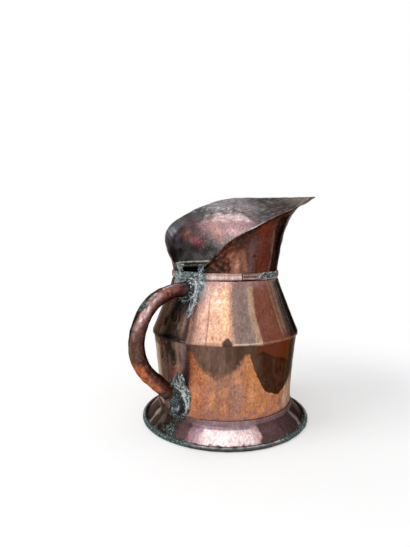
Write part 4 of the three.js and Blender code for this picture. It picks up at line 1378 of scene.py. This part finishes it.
def solder_finish(name):
    """Old solder: slate grey, nearly black in its hollows, with a fine pale bloom, pale lines along its
    border and round the handle, and white and green salts in specks and threads."""
    f = Finish(name)
    broad = f.noise(7, 4, 0.65, 31)
    grain = f.noise(1.8, 3, 0.7, 33)
    web = f.math("ABSOLUTE", f.math("SUBTRACT", f.noise(11, 3, 0.6, 35), 0.5))
    raised = f.step(f.math("MULTIPLY_ADD", f.stored("rise"), 0.14, broad), 0.12, 0.5)
    tone = f.mix(raised, colour("1b2327"), colour("6c7c80"))
    bloom = f.math("MULTIPLY", f.scale(f.step(grain, 0.54, 0.62), 0, 0.85), raised)
    tone = f.mix(bloom, tone, colour("dbe4e4"))
    tone = f.over(tone, f.step(grain, 0.51, 0.42), 0.85, "14191b")
    tone = f.over(tone, f.step(f.noise(6, 3, 0.6, 39), 0.54, 0.7), 0.55, "4f7a72")
    tone = f.over(tone, f.step(f.noise(6.5, 3, 0.6, 40), 0.62, 0.74), 0.6, "5a3c30")
    threads = f.math("MULTIPLY", f.step(web, 0.02, 0.004), f.step(broad, 0.34, 0.5))
    line = f.math("MULTIPLY", f.stored("line"), f.step(grain, 0.3, 0.42))
    specks = f.math("MULTIPLY", f.step(f.noise(1.9, 1, 0.5, 37), 0.68, 0.73), raised)
    tone = f.over(tone, f.math("MAXIMUM", f.math("MAXIMUM", threads, line), specks), 0.9, "e2e9e6")
    ragged = f.math("MULTIPLY_ADD", f.math("SUBTRACT", grain, 0.5), 0.9, f.stored("depth"))
    cover = f.step(ragged, -0.04, 0.2)
    dirty = f.times(f.stored("tone", "Color"), (0.75, 0.76, 0.78))
    return f.finish(Base_Color=f.mix(cover, dirty, tone), Metallic=f.scale(cover, 0.95, 0.35),
                    Roughness=f.scale(grain, 0.4, 0.7), Normal=f.bumps((grain, 0.2), (broad, 0.5)))


def strip_finish():
    """Tinned strip gone pale green-grey, brown in its dents."""
    f = Finish("Pale_strip")
    broad = f.noise(6, 4, 0.6, 41)
    grain = f.noise(1.4, 3, 0.6, 43)
    tone = f.mix(f.step(broad, 0.4, 0.7), f.stored("tone", "Color"), colour("8e937f"))
    tone = f.over(tone, f.step(grain, 0.55, 0.7), 0.7, "e6ead6")
    return f.finish(Base_Color=tone, Metallic=0.45, Roughness=f.scale(grain, 0.35, 0.6),
                    Normal=f.bumps((grain, 0.25)))


def wire_finish():
    """Rusted iron."""
    f = Finish("Rusted_wire")
    rust = f.noise(1.8, 4, 0.7, 51)
    tone = f.mix(f.step(rust, 0.4, 0.65), f.stored("tone", "Color"), colour("6b4026"))
    return f.finish(Base_Color=tone, Metallic=f.scale(rust, 0.7, 0.2), Roughness=f.scale(rust, 0.6, 0.9),
                    Normal=f.bumps((rust, 0.3)))


# Camera, floor and light. Lengths here are in metres, apart from the camera's own.

CAMERA_TURN = 38
CAMERA_DISTANCE = 533.7
CAMERA_HEIGHT = 224.8
CAMERA_YAW = np.radians(-2.73)
CAMERA_PITCH = np.radians(4.54)
LENS = 27.58
SENSOR = 36.0
AIM_HEIGHT = 0.13
WORLD_FILL = 0.66
FLOOR_REACH = 6.0
FLOOR_ALBEDO = (0.72, 0.72, 0.72)
FLOOR_GLOW = 0.3
FLOOR_FADE = (0.2, 0.5) # from the middle, where the floor passes into plain white
CARD_DISTANCE = 0.9
FACE = [(0, 1, 2, 3)]


def aimed(name, data, place, direction):
    """A camera or lamp that stands at a place and looks in a direction."""
    thing = bpy.data.objects.new(name, data)
    thing.location = place
    thing.rotation_mode = "QUATERNION"
    thing.rotation_quaternion = Vector(direction).to_track_quat("-Z", "Y")
    bpy.context.scene.collection.objects.link(thing)
    return thing


def camera():
    """The photograph's viewpoint, fitted to the circles of foot, crease and neck."""
    away, right = outward(CAMERA_TURN), outward(CAMERA_TURN - 90)
    level = away * np.cos(CAMERA_YAW) + right * np.sin(CAMERA_YAW)
    forward = level * np.cos(CAMERA_PITCH) - UP * np.sin(CAMERA_PITCH)
    place = (np.array([AXIS, 0, 0]) - away * CAMERA_DISTANCE + UP * CAMERA_HEIGHT) * MM
    data = bpy.data.cameras.new("Camera")
    data.sensor_width, data.lens = SENSOR, LENS
    data.clip_start, data.clip_end = 0.02, 50
    bpy.context.scene.camera = aimed("Camera", data, place, forward)


def seen_directly(tree):
    """1 for rays from the camera, or by way of metal or glass, and 0 for diffuse light."""
    path = tree.nodes.new("ShaderNodeLightPath")
    total = path.outputs["Is Camera Ray"]
    for name in ("Is Glossy Ray", "Is Transmission Ray"):
        most = tree.nodes.new("ShaderNodeMath")
        most.operation = "MAXIMUM"
        tree.links.new(total, most.inputs[0])
        tree.links.new(path.outputs[name], most.inputs[1])
        total = most.outputs[0]
    return total


def world():
    """White to the camera and in reflections, and a plain fill light for the rest."""
    sky = bpy.data.worlds.new("Studio")
    bpy.context.scene.world = sky
    sky.use_nodes = True
    tree = sky.node_tree
    background = tree.nodes["Background"]
    background.inputs["Color"].default_value = (1, 1, 1, 1)
    strength = tree.nodes.new("ShaderNodeMapRange")
    tree.links.new(seen_directly(tree), strength.inputs["Value"])
    strength.inputs["To Min"].default_value = WORLD_FILL
    strength.inputs["To Max"].default_value = 1.0
    tree.links.new(strength.outputs[0], background.inputs["Strength"])


def floor():
    """A pale floor: diffuse near the pitcher, so that it keeps the shadow, with a little glow of its own
    when seen; further out it passes into the plain white of the background."""
    far = FLOOR_REACH
    ground = mesh_object("Floor", [(-far, -far, 0), (far, -far, 0), (far, far, 0), (-far, far, 0)], FACE)
    f = Finish("Floor")
    f.tree.nodes.remove(f.shader)
    seen = seen_directly(f.tree)
    diffuse = f.add("ShaderNodeBsdfDiffuse", {"Color": FLOOR_ALBEDO})
    glow = f.add("ShaderNodeEmission", {"Strength": f.math("MULTIPLY", seen, FLOOR_GLOW)})
    near = f.add("ShaderNodeAddShader", {0: diffuse.outputs[0], 1: glow.outputs[0]})
    distance = f.add("ShaderNodeVectorMath", {0: f.place}, operation="LENGTH").outputs["Value"]
    share = f.math("MULTIPLY", f.step(distance, *FLOOR_FADE), seen)
    white = f.add("ShaderNodeEmission")
    both = f.add("ShaderNodeMixShader", {0: share, 1: near.outputs[0], 2: white.outputs[0]})
    f.feed(f.end, {"Surface": both.outputs[0]})
    ground.data.materials.append(f.material)


def dark_card(name, azimuth, height, width):
    """A dark card that stands upright beside the pitcher, seen only in the metal."""
    middle = np.array([AXIS * MM, 0, 0]) + CARD_DISTANCE * outward(azimuth)
    side = width / 2 * outward(azimuth + 90)
    low, high = [middle - side, middle + side], [middle + side + height * UP, middle - side + height * UP]
    card = mesh_object(name, low + high, FACE)
    black = Finish(name).finish(Base_Color=(0.03, 0.028, 0.026), Roughness=0.9, Specular_IOR_Level=0.0)
    card.data.materials.append(black)
    card.visible_camera = card.visible_diffuse = card.visible_shadow = card.visible_transmission = False


def softbox(name, azimuth, elevation, distance, width, height, power):
    """A rectangular lamp aimed at the middle of the pitcher. Azimuth is where it stands, in degrees."""
    target = np.array([AXIS * MM, 0, AIM_HEIGHT])
    e = np.radians(elevation)
    place = target + distance * (outward(azimuth) * np.cos(e) + UP * np.sin(e))
    data = bpy.data.lights.new(name, "AREA")
    data.shape, data.size, data.size_y, data.energy = "RECTANGLE", width, height, power
    return aimed(name, data, place, target - place)


bpy.context.scene.view_settings.view_transform = "Standard"
camera()
world()
floor()
softbox("Key", azimuth=204, elevation=46, distance=2.0, width=1.5, height=1.5, power=7.5)
side_lamp = softbox("Side", azimuth=150, elevation=50, distance=2.0, width=0.9, height=0.9, power=14)
side_lamp.visible_glossy = False
dark_card("Card_right", azimuth=-11, height=0.32, width=0.62)
dark_card("Card_left", azimuth=121, height=0.8, width=0.5)

SOLDER = solder_finish("Solder")
BODY_COPPER = old_copper("Body_copper", 0.26, streaks=0.07)
SHOULDER_COPPER = old_copper("Shoulder_copper", 0.25, shift=60)
HOOD_COPPER = old_copper("Hood_copper", 0.3, shift=110, bright=0.12)
stand_for(lower_body(), "lower_body", BODY_COPPER)
stand_for(shoulder_cone(), "shoulder_cone", SHOULDER_COPPER)
stand_for(foot_skirt(), "foot_skirt", old_copper("Foot_copper", 0.34, False, 80))
stand_for(foot_wire(), "foot_wire", wire_finish())
stand_for(base_plate(), "base_plate", old_copper("Plate_copper", 0.45, False, 90))
stand_for(neck_band(), "neck_band", old_copper("Band_copper", 0.34, False, 100))
stand_for(spout_hood(), "spout_hood", HOOD_COPPER)
stand_for(inner_bead(), "inner_bead", strip_finish())
stand_for(handle_tube(), "handle_tube", old_copper("Handle_copper", 0.32, shift=120))
stand_for(upper_solder(), "upper_handle_solder", SOLDER)
stand_for(lower_solder(), "lower_handle_solder", SOLDER)
stand_for(neck_patch(), "neck_solder_patch", SOLDER)
stand_for(end_solder("Hood_end_solder_left", 1, 151), "hood_end_solder_left", SOLDER)
stand_for(end_solder("Hood_end_solder_right", -1, 161), "hood_end_solder_right", SOLDER)
